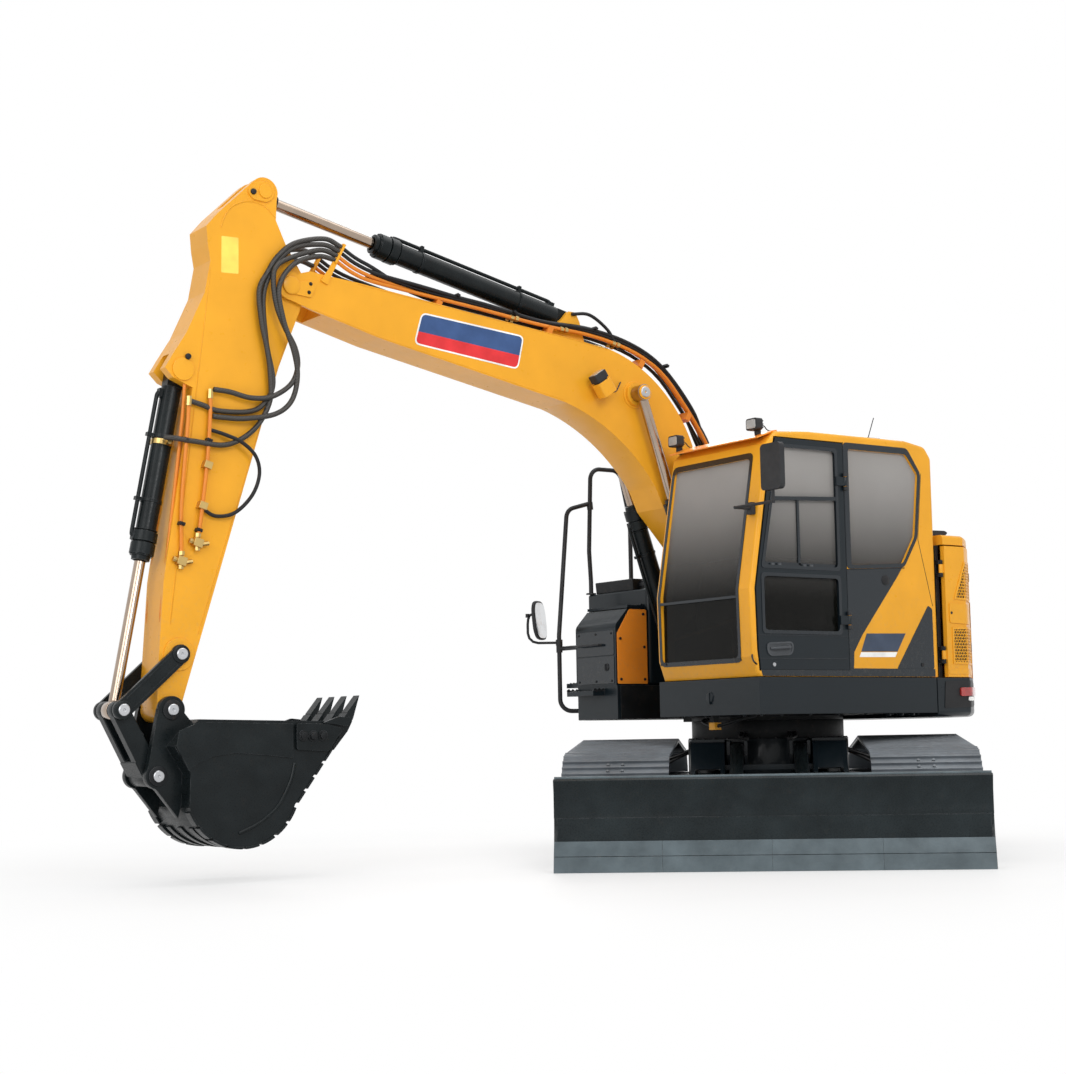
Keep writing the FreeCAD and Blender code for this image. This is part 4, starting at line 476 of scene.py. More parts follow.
class Kit:
    """Trim of one finish on one body, gathered in that body's rest frame as a single piece."""

    def __init__(self, name, body, finish, where=UPPER, rounding=0.0015, slot=None):
        self.name, self.body, self.finish, self.slot = name, body, finish, slot or SLOTS[finish]
        self.where, self.rounding = where, rounding
        self.mesh = bmesh.new()

    def point(self, plane, u, v, w):
        return self.mesh.verts.new({"X": (w, u, v), "Y": (u, w, v), "Z": (u, v, w)}[plane])

    def prism(self, outline, low, high, plane="Y"):
        rings = [[self.point(plane, u, v, w) for u, v in outline] for w in (low, high)]
        return self.skin(rings, True)

    def box(self, x, y, z):
        return self.prism(rect(*x, *y), *z, "Z")

    def skin(self, rings, capped=True):
        count = len(rings[0])
        for one, two in zip(rings, rings[1:]):
            for i in range(count):
                j = (i + 1) % count
                self.mesh.faces.new((one[i], one[j], two[j], two[i]))
        if capped:
            self.mesh.faces.new(rings[0][::-1])
            self.mesh.faces.new(rings[-1])
        return [vert for ring in rings for vert in ring]

    def plate(self, loops, low, high, plane="Y"):
        """A flat plate from its outline and its holes."""
        levels = []
        for w in (low, high):
            rings = [[self.point(plane, u, v, w) for u, v in loop] for loop in loops]
            edges = [self.mesh.edges.new(pair) for ring in rings for pair in zip(ring, ring[1:] + ring[:1])]
            bmesh.ops.triangle_fill(self.mesh, edges=edges, use_beauty=True)
            levels.append(rings)
        for one, two in zip(*levels):
            self.skin([one, two], False)

    def bar(self, points, radius, sides=10):
        """A round tube along a line."""
        points = [Vector(point) for point in points]
        side = None
        rings = []
        for index, point in enumerate(points):
            ahead = (points[min(index + 1, len(points) - 1)] - points[max(index - 1, 0)]).normalized()
            side = ahead.orthogonal() if side is None else side - ahead * side.dot(ahead)
            side.normalize()
            rings.append(self.circle(point, side, ahead.cross(side), radius, sides))
        return self.skin(rings)

    def circle(self, middle, side, other, radius, sides):
        turns = [2 * math.pi * (i + 0.5) / sides for i in range(sides)]
        return [self.mesh.verts.new(middle + radius * (math.cos(t) * side + math.sin(t) * other))
                for t in turns]

    def lathe(self, profile, centre, way, sides=24, collar=False):
        """A turned shape from (distance along its axis, radius) pairs, or a hollow collar."""
        way = Vector(way).normalized()
        side = way.orthogonal().normalized()
        rings = [self.circle(Vector(centre) + way * along, side, way.cross(side), radius, sides)
                 for along, radius in profile]
        return self.skin(rings + rings[:1], False) if collar else self.skin(rings)

    def bolt(self, centre, way, size=0.012):
        self.lathe([(-0.001, size * 1.25), (size * 0.25, size * 1.25)], centre, way, 12)
        self.lathe([(size * 0.2, size), (size * 0.8, size), (size * 0.95, size * 0.8)], centre, way, 6)

    def bosses(self, profile, x, y, z, sides=24):
        """The same turned shape on both sides, with its axis across."""
        for side in (1, -1):
            self.lathe(profile, (x, side * y, z), (0, side, 0), sides)

    def cheeks(self, outline, near, far):
        """The same flat shape on both sides, between two distances from the middle plane."""
        for side in (1, -1):
            self.prism(outline, *span(side, near, far))

    def beads(self, line, y, radius=0.0035, sides=6):
        """A thin bar along (x, z) points on both sides, such as a weld seam."""
        for side in (1, -1):
            self.bar([(point[0], side * y, point[1]) for point in line], radius, sides)

    def strip(self, start, end, width, low, high):
        """A straight flat strip between two points of the plane Y = 0."""
        one, two = Vector(start), Vector(end)
        across = Vector((one.y - two.y, two.x - one.x)).normalized() * width / 2
        return self.prism([tuple(one - across), tuple(two - across), tuple(two + across),
                           tuple(one + across)], low, high)

    def cut(self, place, steps):
        """Cuts the gathered mesh into slices along an axis, so that it can be wrapped."""
        for level in steps:
            way = Vector([1 if axis == place else 0 for axis in range(3)])
            everything = self.mesh.verts[:] + self.mesh.edges[:] + self.mesh.faces[:]
            bmesh.ops.bisect_plane(self.mesh, geom=everything, dist=1e-6, plane_co=way * level, plane_no=way)

    def wrap(self, move):
        for vert in self.mesh.verts:
            vert.co = Vector(move(vert.co))

    def done(self):
        bmesh.ops.recalc_face_normals(self.mesh, faces=self.mesh.faces[:])
        self.mesh.transform(self.where)
        data = bpy.data.meshes.new(self.name)
        self.mesh.to_mesh(data)
        self.mesh.free()
        data.shade_smooth()
        data.set_sharp_from_angle(angle=math.radians(35))
        piece = bpy.data.objects.new(self.name, data)
        scene.collection.objects.link(piece)
        data.materials.append(mats[self.finish])
        if self.rounding:
            bevel(piece, self.rounding, 2, 40)
        if self.body:
            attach(piece, self.body)
        return piece


# ---------------------------------------------------------------- tracks

PITCHES = 44
HALF_GAP, WHEEL_Z = 1.39, 0.362        # how far the end wheels stand from the middle, and how high
CHAIN_RADIUS = 0.302                   # of the chain's inner line round them
TOP_RISE = 0.088                       # of the top run, at its middle
SHOE_HALF_WIDTH = 0.35
SLOPE_RUN = math.hypot(HALF_GAP, TOP_RISE)
LOOP = 2 * HALF_GAP + 2 * math.pi * CHAIN_RADIUS + 2 * SLOPE_RUN
# the share of the loop at which the top run peaks
PEAK = (2 * HALF_GAP + math.pi * CHAIN_RADIUS + SLOPE_RUN) / LOOP
GAUGE_HALF = 1.0


def chain_at(share):
    """A point on the chain's inner line and its outward direction, by the share of its length."""
    run = (share % 1) * LOOP
    if run < 2 * HALF_GAP:
        return Vector((run - HALF_GAP, 0, WHEEL_Z - CHAIN_RADIUS)), Vector((0, 0, -1))
    run -= 2 * HALF_GAP
    if run < math.pi * CHAIN_RADIUS:
        turn = run / CHAIN_RADIUS - math.pi / 2
        out = Vector((math.cos(turn), 0, math.sin(turn)))
        return Vector((HALF_GAP, 0, WHEEL_Z)) + out * CHAIN_RADIUS, out
    run -= math.pi * CHAIN_RADIUS
    if run < 2 * SLOPE_RUN:
        part = run / SLOPE_RUN
        tilt = math.atan2(TOP_RISE, HALF_GAP) * (1 if part < 1 else -1)
        level = WHEEL_Z + CHAIN_RADIUS + TOP_RISE * min(part, 2 - part)
        return Vector((HALF_GAP * (1 - part), 0, level)), Vector((math.sin(tilt), 0, math.cos(tilt)))
    turn = (run - 2 * SLOPE_RUN) / CHAIN_RADIUS + math.pi / 2
    out = Vector((math.cos(turn), 0, math.sin(turn)))
    return Vector((-HALF_GAP, 0, WHEEL_Z)) + out * CHAIN_RADIUS, out


def track(name, node, side):
    """Steel shoes with three grousers each, bolted to a chain of links and pins."""
    half = LOOP / PITCHES / 2
    shoe = [(-half - 0.034, 0.0235), (-half + 0.004, 0.03), (-half + 0.012, 0.034), (half - 0.004, 0.034),
            (half - 0.004, 0.044)]
    for spot in (0.062, 0.004, -0.056):
        shoe += [(spot + 0.011, 0.0445), (spot + 0.005, 0.06), (spot - 0.005, 0.06), (spot - 0.011, 0.0445)]
    shoe += [(-half + 0.008, 0.044), (-half + 0.001, 0.04), (-half - 0.003, 0.033), (-half - 0.034, 0.0285)]
    link = [(-half + 0.004, 0.006), (-half + 0.02, 0.0), (half - 0.02, 0.0), (half + 0.006, 0.006),
            (half + 0.006, 0.026), (half - 0.02, 0.0335), (-half + 0.02, 0.0335), (-half + 0.004, 0.026)]
    kit = Kit(name, "undercarriage", "track", UNDER @ Matrix.Translation((0, side * GAUGE_HALF, 0)), 0.0012)
    for index in range(PITCHES):
        spot, out = chain_at(PEAK + (index + 0.5) / PITCHES)
        along = Vector((-out.z, 0, out.x))
        turn = Matrix((along, Vector((0, 1, 0)), out)).transposed().to_4x4()
        place = Matrix.Translation(spot) @ turn
        made = kit.prism(shoe, -SHOE_HALF_WIDTH, SHOE_HALF_WIDTH)
        for y in (0.062, -0.062):
            made += kit.prism(link, y - 0.014, y + 0.014)
        made += kit.lathe([(-0.09, 0.013), (0.09, 0.013)], (half, 0, 0.016), (0, 1, 0), 10)
        for u in (0.033, -0.026):
            for y in (0.048, -0.048):
                made += kit.lathe([(0, 0.016), (0.003, 0.016)], (u, y, 0.043), (0, 0, 1), 12)
                made += kit.lathe([(0, 0.011), (0.011, 0.011)], (u, y, 0.045), (0, 0, 1), 6)
        for vert in made:
            vert.co = place @ vert.co
    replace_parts(kit.done(), node)


track("track_shoes_left", "track_left", 1)
track("track_shoes_right", "track_right", -1)

kit = Kit("undercarriage_fittings", "undercarriage", "cast", UNDER)
for side in (1, -1):
    outer = side * (GAUGE_HALF + 0.19)
    centre = (-HALF_GAP, outer, WHEEL_Z)
    kit.lathe([(-0.01, 0.165), (0.012, 0.16), (0.022, 0.12), (0.026, 0.05)], centre, (0, side, 0), 40)
    for u, w in around(12, 0.142):
        kit.bolt((-HALF_GAP + u, outer + side * 0.012, WHEEL_Z + w), (0, side, 0), 0.01)
    # the sprocket's teeth
    middle = Vector((-HALF_GAP, side * GAUGE_HALF, WHEEL_Z))
    for u, w in around(11, 1, 0.5):
        out, across = Vector((u, 0, w)), Vector((-w, 0, u))
        ring = [middle + out * r + across * w
                for r, w in ((0.28, 0.05), (0.302, 0.042), (0.322, 0.018), (0.322, -0.018), (0.302, -0.042),
                             (0.28, -0.05))]
        kit.skin([[kit.mesh.verts.new(p + Vector((0, y, 0))) for p in ring] for y in (-0.028, 0.028)])
    for x in (-0.62, 0, 0.62):
        kit.prism(soft_corners(rect(x - 0.11, x + 0.11, 0.33, 0.44), 0.03),
                  side * (GAUGE_HALF + 0.118), side * (GAUGE_HALF + 0.126))
        for spot in (x - 0.08, x + 0.08):
            kit.bolt((spot, side * (GAUGE_HALF + 0.125), 0.385), (0, side, 0), 0.01)
for index in range(7):
    kit.bosses([(0, 0.036), (0.01, 0.034), (0.014, 0.022)], -0.898 + index * 0.2993, GAUGE_HALF + 0.111,
               0.139)
for u, v in around(30, 0.566, 0.5):
    kit.bolt((u, v, 0.8), (0, 0, 1), 0.01)
# the pins of the blade's arms
for side in (1, -1):
    for away in (-1, 1):
        wall = side * 0.415 + away * 0.115
        kit.lathe([(0, 0.062), (0.012, 0.06), (0.014, 0.03)], (0.95, wall, 0.5), (0, away, 0))
        kit.bolt((0.99, wall + away * 0.01, 0.5), (0, away, 0), 0.008)
kit.done()

kit = Kit("undercarriage_hoses", "undercarriage", "rubber", UNDER, 0, slot="cast_dark")
for side in (1, -1):
    for shift in (0, 0.035):
        kit.bar(flowing([(0.3, side * (0.12 + shift), 0.845), (0.5, side * (0.15 + shift), 0.842),
                         (0.66, side * (0.17 + shift * 0.6), 0.815),
                         (0.78, side * (0.14 + shift * 0.5), 0.8)]), 0.012)
        kit.bar(flowing([(-0.35, side * (0.35 + shift), 0.8), (-0.55, side * (0.6 + shift), 0.7),
                         (-0.85, side * 0.8, 0.6 + shift), (-1.12, side * 0.84, 0.5 + shift)]), 0.013)
kit.done()

# ---------------------------------------------------------------- blade

BLADE_FOOT = 2.346            # how far ahead its lower edge is
BLADE_KNEE = (2.318, 0.11)    # (ahead, up)
BLADE_TOP = (2.295, 0.562)
BLADE_HOLLOW = 0.62           # the curve's radius
BLADE_END = 1.335             # how far out the top bar's ends are


def blade_front(z):
    """The blade's front face: flat under the knee, then a hollow curve."""
    (knee_x, knee_z), (top_x, top_z) = BLADE_KNEE, BLADE_TOP
    if z < knee_z:
        return BLADE_FOOT - 0.028 * z / knee_z
    chord = Vector((top_x - knee_x, top_z - knee_z))
    part = (z - knee_z) / chord.y
    sag = chord.length ** 2 / (8 * BLADE_HOLLOW)
    return knee_x + chord.x * part - sag * 4 * part * (1 - part)


kit = Kit("blade_cutting_edge", "blade", "edge", UNDER, 0.001)
for levels in ((0.001, 0.05, 0.097), (0.1, 0.11, 0.13, 0.15, 0.17, 0.19)):
    near = [(blade_front(z) + 0.0004, z) for z in levels]
    face = [(x + 0.008, z) for x, z in near]
    # four pieces side by side, with a fine joint between them
    for index in range(4):
        y = -1.338 + index * 0.669
        kit.prism(near + face[::-1], y + 0.0004, y + 0.6686)
kit.done()
# the top bar is in the pale edge steel as a painted highlight along its round top
kit = Kit("blade_top_bar", "blade", "edge", UNDER, 0)
kit.bar([(2.256, y, 0.574) for y in (-BLADE_END, 0, BLADE_END)], 0.014, 14)
kit.done()
kit = Kit("blade_ribs", "blade", "blade", UNDER, 0.003)
for y in (-BLADE_END, -0.75, -0.62, 0.62, 0.75, BLADE_END):
    kit.prism([(2.1 if abs(y) < 1 else 2.18, 0.33), (2.245, 0.33), (2.245, 0.54)], y - 0.008, y + 0.008)
for side in (1, -1):
    kit.bar([(2.17, side * 0.05, 0.331), (2.17, side * 1.3, 0.331)], 0.008, 8)
for y in (0.215, -0.215):
    for away in (1, -1):
        kit.lathe([(-0.001, 0.036), (0.01, 0.034)], (2.08, y + away * 0.071, 0.45), (0, away, 0))
        kit.bolt((2.08, y + away * 0.08, 0.45), (0, away, 0), 0.01)
kit.done()

# ---------------------------------------------------------------- cab outside

SIDE = 1.2104        # the cab's left face
DOOR = 1.2164        # the door's outer face
HINGES = (1.584, 2.526)
WORK_LAMPS = (0.235, 1.075)
MIRROR_Z = 1.715     # the middle of the far mirror
RAIL_Y = -1.17       # the handrails' plane


def cab_front(z):
    """How far forward the cab's front face stands at a height."""
    line = [(1.206, 1.105), (1.336, 1.152), (1.78, 1.16), (2.64, 1.005), (2.75, 0.98), (2.835, 0.895)]
    for (low, one), (high, two) in zip(line, line[1:]):
        if z <= high:
            return one + (two - one) * (z - low) / (high - low)
    return line[-1][1]


kit = Kit("cab_side_panels", "upper", "gloss")
rear_pane = [(-0.345, 2.18), (-0.225, 1.99), (0.262, 1.96), (0.262, 2.755), (-0.285, 2.755), (-0.395, 2.62)]
rear_edge = [(-0.372, 2.172), (-0.236, 1.962), (0.303, 1.934), (0.303, 2.8), (-0.3, 2.8), (-0.424, 2.628)]
kit.plate([soft_corners(rear_edge, 0.03), soft_corners(rear_pane, 0.02)], SIDE, SIDE + 0.003)
kit.prism([(0.303, 1.931), (-0.215, 1.96), (-0.168, 1.898), (0.183, 1.488), (0.262, 1.372), (0.27, 1.262),
           (0.303, 1.262)], SIDE, SIDE + 0.002)
kit.prism(soft_corners([(-0.452, 1.704), (-0.134, 1.262), (-0.492, 1.262), (-0.492, 1.68)], 0.015), SIDE,
          SIDE + 0.002)
kit.prism([(0.303, 1.262), (0.303, 1.208), (-0.5, 1.208), (-0.5, 1.262)], SIDE, SIDE + 0.002)
kit.prism([(0.303, 1.2495), (1.092, 1.2495), (1.08, 1.208), (0.303, 1.208)], SIDE, SIDE + 0.002)
for levels in ((1.2495, 1.545), (1.625, 2.485), (2.565, 2.8)):
    kit.box((0.303, 0.3078), (SIDE - 0.03, SIDE + 0.002), levels)
kit.done()

kit = Kit("cab_side_blue", "upper", "navy", rounding=0.0005)
kit.prism([(0.142, 1.499), (-0.226, 1.505), (-0.143, 1.379), (0.198, 1.375)], SIDE, SIDE + 0.0012)
kit.done()
kit = Kit("cab_side_white", "upper", "white", rounding=0.0005)
kit.prism([(0.199, 1.371), (-0.14, 1.375), (-0.12, 1.341), (0.215, 1.338)], SIDE, SIDE + 0.0012)
kit.done()

kit = Kit("cab_seams", "upper", "rubber", rounding=0)
kit.bar([(0.3, SIDE + 0.0025, 1.93), (-0.235, SIDE + 0.0025, 1.958)], 0.003, 6)
kit.bar([(-0.43, SIDE, 2.63), (-0.378, SIDE, 2.165), (-0.498, SIDE, 1.7)], 0.002, 6)
kit.lathe([(0, 0.036), (0.005, 0.034), (0.01, 0.022)], (-0.05, SIDE + 0.001, 1.868), (0, 1, 0), 28)
kit.lathe([(0, 0.014), (0.006, 0.013)], (-0.376, SIDE + 0.001, 1.29), (0, 1, 0), 16)
kit.done()

kit = Kit("door_trim", "door", "gloss", rounding=0.001)
for window in ([(0.385, 1.93), (1.055, 1.93), (0.91, 2.64), (0.87, 2.735), (0.385, 2.735)],
               rect(0.385, 1.06, 1.5, 1.87)):
    kit.plate([soft_corners(ring_of(window, 0.016), 0.03), soft_corners(ring_of(window, -0.008), 0.03)],
              DOOR, DOOR + 0.004)
kit.prism([(0.388, 2.392), (0.958, 2.366), (0.953, 2.392), (0.388, 2.418)], 1.186, DOOR + 0.003)
kit.prism([(0.4, 1.938), (1.048, 1.938), (1.044, 1.958), (0.4, 1.958)], 1.194, 1.206)
kit.prism(rect(0.715, 0.735, 1.945, 2.385), 1.194, 1.206)
for x, z in ((1.105, 1.322), (1.125, 1.474)):
    kit.prism([(0.33, z), (x, z - 0.004), (x, z + 0.001), (0.33, z + 0.005)], DOOR, DOOR + 0.002)
kit.done()

kit = Kit("door_handle", "door", "handle", rounding=0.002)
handle = soft_corners([(1.05, 1.425), (0.812, 1.436), (0.822, 1.345), (1.036, 1.336)], 0.042, 6)
kit.plate([handle, ring_of(handle, -0.012)], DOOR, DOOR + 0.007)
kit.prism(ring_of(handle, -0.011), DOOR, DOOR + 0.0015)
kit.bar(bent([(0.845, DOOR + 0.002, 1.4), (0.86, DOOR + 0.022, 1.396), (0.99, DOOR + 0.022, 1.388),
              (1.008, DOOR + 0.002, 1.386)]), 0.011, 10)
for z in HINGES:
    kit.box((0.318, 0.372), (DOOR, DOOR + 0.01), (z - 0.028, z + 0.028))
    for x in (0.34, 0.36):
        kit.bolt((x, DOOR + 0.01, z + 0.012), (0, 1, 0), 0.005)
for x in (0.62, 0.68, 0.9, 0.96):
    kit.box((x, x + 0.026), (1.205, 1.222), (1.936, 1.95))
kit.bar(bent([(0.356, 1.16, 1.75), (0.356, 1.12, 1.76), (0.356, 1.12, 2.28), (0.356, 1.16, 2.29)]), 0.012)
kit.done()

kit = Kit("hinge_caps", "upper", "plastic", rounding=0.001)
for z in HINGES:
    for side in (1, -1):
        kit.lathe([(0.0334, 0.01), (0.0338, 0.0158), (0.0592, 0.0158), (0.0605, 0.008)], (0.311, 1.23, z),
                  (0, 0, side), 20)
kit.done()

kit = Kit("door_lock", "door", "pin", rounding=0.0008)
kit.lathe([(0, 0.014), (0.006, 0.013), (0.006, 0.006)], (0.985, DOOR, 1.282), (0, 1, 0), 20)
kit.box((0.982, 0.988), (DOOR + 0.005, DOOR + 0.008), (1.275, 1.289))
kit.done()

kit = Kit("windscreen_border", "upper", "gloss", rounding=0)
kit.plate([soft_corners(rect(0.228, 1.086, 1.3, 2.7), 0.05),
           soft_corners(rect(0.254, 1.06, 1.33, 2.66), 0.035)], 0.001, 0.004, "X")
kit.prism(rect(0.25, 1.064, 1.724, 1.742), -0.014, 0.004, "X")
kit.cut(2, [1.336, 1.45, 1.6, 1.735, 1.78, 1.9, 2.05, 2.2, 2.35, 2.5, 2.64])
kit.wrap(lambda p: (cab_front(p.z) + p.x, p.y, p.z))
kit.done()

kit = Kit("cab_outside_fittings", "upper", "plastic", rounding=0.002)
for y in (0.262, 1.052):
    kit.box((cab_front(1.32) - 0.004, cab_front(1.32) + 0.01), (y - 0.03, y + 0.03), (1.311, 1.325))
kit.box((1.12, 1.142), (1.15, 1.2), (1.74, 1.785))
kit.bar(flowing([(1.148, 1.19, 1.345), (1.17, 1.215, 1.33), (1.165, 1.225, 1.3), (1.12, 1.2, 1.285)]),
        0.006, 8)
kit.box((-0.1, 0.7), (0.4, 1.005), (2.8555, 2.868))
kit.bar(flowing([(-0.18, 0.95, 2.855), (-0.185, 0.955, 2.9), (-0.23, 0.97, 3.045)]), 0.0035, 8)
kit.lathe([(0, 0.022), (0.012, 0.02), (0.03, 0.009)], (-0.18, 0.95, 2.853), (0, 0, 1), 16)
for y in WORK_LAMPS:
    kit.box((0.925, 0.965), (y - 0.012, y + 0.012), (2.8, 2.868))
    kit.prism(soft_corners(rect(y - 0.055, y + 0.055, 2.85, 2.93), 0.02), 0.945, 1.0, "X")
    for z in (2.868, 2.89, 2.912):
        kit.box((0.93, 0.95), (y - 0.045, y + 0.045), (z - 0.004, z + 0.004))
    kit.bar(flowing([(0.94, y, 2.88), (0.9, y + 0.01, 2.885), (0.87, y + 0.02, 2.855),
                     (0.8, y + 0.03, 2.853)]), 0.004, 6)
kit.box((-0.1, 0.02), (0.2, 1.16), (2.856, 2.862))
kit.done()

# the roof's front overhang, seen from below, in the orange copy of the yellow: painted shade
kit = Kit("cab_visor", "upper", "orange_panel", rounding=0.002)
kit.prism([(0.86, 2.85), (0.9, 2.842), (1.035, 2.79), (1.03, 2.782), (0.9, 2.83), (0.86, 2.838)], 0.23, 1.17)
kit.done()

kit = Kit("cab_lamp_lenses", "upper", "clear", rounding=0.002)
for y in WORK_LAMPS:
    kit.prism(soft_corners(rect(y - 0.044, y + 0.044, 2.86, 2.92), 0.014), 0.999, 1.006, "X")
kit.done()

kit = Kit("amber_lamps", "upper", "amber", rounding=0)
kit.lathe([(0, 0.04), (0.02, 0.038), (0.038, 0.024), (0.044, 0.006)], (-0.4, 1.0, 2.838), (0, 0, 1))
kit.done()

kit = Kit("mirror_glass", "upper", "mirror", rounding=0.001)
kit.prism(soft_corners(rect(1.442, 1.608, 2.397, 2.673), 0.025), 1.1965, 1.1995, "X")
kit.done()

# the far mirror, turned on its arm, in place of the frame's plain one
far = UPPER @ Matrix.Translation((1.024, RAIL_Y, 0)) @ Matrix.Rotation(math.radians(-34), 4, "Z")
far_head = far @ Matrix.Translation((0.15, 0, 0)) @ Matrix.Rotation(math.radians(-28), 4, "Z")
oval = [(0.094 * math.copysign(abs(math.cos(t)) ** 0.6, math.cos(t)),
         MIRROR_Z + 0.149 * math.copysign(abs(math.sin(t)) ** 0.6, math.sin(t)))
        for t in (2 * math.pi * (i + 0.5) / 48 for i in range(48))]


def lean(p):
    """Tips the far mirror's head a little outward at its top."""
    return p.x + (p.z - MIRROR_Z) * 0.1, p.y, p.z


kit = Kit("far_mirror_head", "upper", "plastic", far_head, 0)
kit.skin([[kit.point("X", y * share, MIRROR_Z + (z - MIRROR_Z) * share, x) for y, z in oval]
          for share, x in ((0.93, -0.016), (0.99, -0.012), (1, -0.002), (0.97, 0.008), (0.86, 0.016),
                           (0.55, 0.02))])
kit.wrap(lean)
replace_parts(kit.done(), "mirror_right")
kit = Kit("far_mirror_arm", "upper", "rail", far, 0)
kit.bar(bent([(0.012, 0, 1.545), (0.235, 0, 1.545), (0.235, 0, 1.76), (0.158, 0, 1.76)]), 0.01, 12)
kit.lathe([(-0.022, 0.026), (0.022, 0.026)], (0, 0, 1.545), (0, 0, 1), 20)
kit.lathe([(-0.014, 0.016), (0.014, 0.016)], (0.235, 0, 1.752), (0, 0, 1), 16)
kit.lathe([(0, 0.022), (0.018, 0.02), (0.026, 0.012)], (0.152, 0, 1.76), (1, 0, 0), 18)
kit.done()
kit = Kit("mirror_glass_far", "upper", "mirror", far_head, 0)
kit.prism([(y * 0.88, MIRROR_Z + (z - MIRROR_Z) * 0.9) for y, z in oval], -0.0185, -0.016, "X")
kit.wrap(lean)
kit.done()

# ---------------------------------------------------------------- skirts, covers, hood and counterweight

COVER, TAIL = (1.239, 1.474), (1.243, 1.48)        # each one's flat side and its round, from the swing axis
DECK_UNDERSIDE = 0.957


def on_tail(side, flat, radius):
    """Wraps trim drawn against the plane Y = 0 round one side of the tail: flat at first, then round."""
    bend = -math.sqrt(radius ** 2 - flat ** 2)

    def move(p):
        if p.x > bend:
            return p.x, side * (flat + p.y), p.z
        turn = math.atan2(flat, -bend) - (bend - p.x) / radius
        out = radius + p.y
        return -out * math.cos(turn), side * out * math.sin(turn), p.z
    return move


def clip(one, two, corners):
    """The part of a straight line inside a convex outline."""
    low, high = 0.0, 1.0
    middle = [sum(p[k] for p in corners) / len(corners) for k in (0, 1)]
    step = (two[0] - one[0], two[1] - one[1])
    for a, b in zip(corners, corners[1:] + corners[:1]):
        normal = (b[1] - a[1], a[0] - b[0])
        if (middle[0] - a[0]) * normal[0] + (middle[1] - a[1]) * normal[1] < 0:
            normal = (-normal[0], -normal[1])
        start = (one[0] - a[0]) * normal[0] + (one[1] - a[1]) * normal[1]
        rate = step[0] * normal[0] + step[1] * normal[1]
        if abs(rate) < 1e-9:
            if start < 0:
                return None
        elif rate > 0:
            low = max(low, -start / rate)
        else:
            high = min(high, -start / rate)
    if high - low < 0.02:
        return None
    return [(one[0] + step[0] * t, one[1] + step[1] * t) for t in (low, high)]


def grille(name, body, side, corners):
    """A panel of crossing strips over a dark sheet that is painted shade for the hollow behind them, on the
    round of a cover.
    """
    (low_x, high_x), (low_z, high_z) = [(min(p[k] for p in corners), max(p[k] for p in corners))
                                        for k in (0, 1)]
    pitch, lean_run, strip_width, slices = 0.026, 0.62, 0.0075, 12
    for part, finish in (("dark", "rubber"), ("strips", "yellow")):
        kit = Kit(f"{name}_{part}", body, finish, rounding=0, slot="body_yellow")
        # the dark part is a thin sheet on the cover's face: painted shade for the hollow behind the strips
        if part == "dark":
            kit.prism(corners, 0.0002, 0.0012)
        else:
            kit.plate([ring_of(corners, 0.014), corners], 0.0004, 0.006)
            for slant in (1, -1):
                for index in range(-30, 60):
                    start = low_x + index * pitch if slant > 0 else high_x - index * pitch
                    line = clip((start, low_z), (start + slant * (high_z - low_z) * lean_run, high_z),
                                corners)
                    if line:
                        kit.strip(*line, strip_width, 0.0012, 0.0042)
        kit.cut(0, [low_x + (high_x - low_x) * i / slices for i in range(1, slices)])
        kit.wrap(on_tail(side, *COVER))
        kit.done()


for side, tag in SIDES:
    grille(f"{tag}_upper_grille", f"{tag}_cover", side,
           [(-0.7, 1.765), (-0.955, 1.752), (-0.955, 2.01), (-0.8, 2.004)])
    grille(f"{tag}_lower_grille", f"{tag}_cover", side,
           [(-0.665, 1.312), (-0.955, 1.306), (-0.955, 1.545), (-0.665, 1.54)])

for side, tag in SIDES:
    kit = Kit(f"{tag}_cover_hatch", f"{tag}_cover", "yellow", rounding=0.003)
    kit.prism(soft_corners([(-0.628, 1.585), (-0.9, 1.575), (-0.9, 1.715), (-0.628, 1.725)], 0.02), 0.0005,
              0.007)
    kit.prism(soft_corners(rect(-0.612, -0.985, 1.225, 1.262), 0.01), 0.0003, 0.003)
    kit.cut(0, [-0.62 - i * 0.025 for i in range(1, 14)])
    kit.wrap(on_tail(side, *COVER))
    kit.done()
    kit = Kit(f"{tag}_cover_latch", f"{tag}_cover", "plastic", rounding=0.001)
    for z in (1.42, 1.92):
        kit.prism(soft_corners(rect(-0.974, -0.992, z - 0.03, z + 0.03), 0.006), 0.0, 0.008)
    kit.lathe([(0, 0.01), (0.005, 0.009)], (-0.645, 0.006, 1.655), (0, 1, 0), 14)
    kit.wrap(on_tail(side, *COVER))
    kit.done()

# part, finish, slot, from and to outward, outline
LAMP_PARTS = [
    ("recess", "rubber", "frame_slate", 0.0004, 0.004,
     [(-0.545, 0.99), (-0.885, 0.998), (-0.985, 1.01), (-0.985, 1.165), (-0.885, 1.184), (-0.56, 1.176)]),
    ("red", "red", None, 0.004, 0.016, [(-0.7, 1.072), (-0.968, 1.078), (-0.968, 1.136), (-0.7, 1.132)]),
    ("white", "white", None, 0.004, 0.01, [(-0.78, 1.04), (-0.968, 1.044), (-0.968, 1.072), (-0.78, 1.068)])]
for side, tag in SIDES:
    for part, finish, slot, low, high, outline in LAMP_PARTS:
        kit = Kit(f"tail_lamp_{part}_{tag}", "upper", finish, rounding=0, slot=slot)
        kit.prism(soft_corners(outline, 0.012), low, high)
        kit.cut(0, [-0.6 - i * 0.02 for i in range(20)])
        kit.wrap(on_tail(side, *TAIL))
        kit.done()

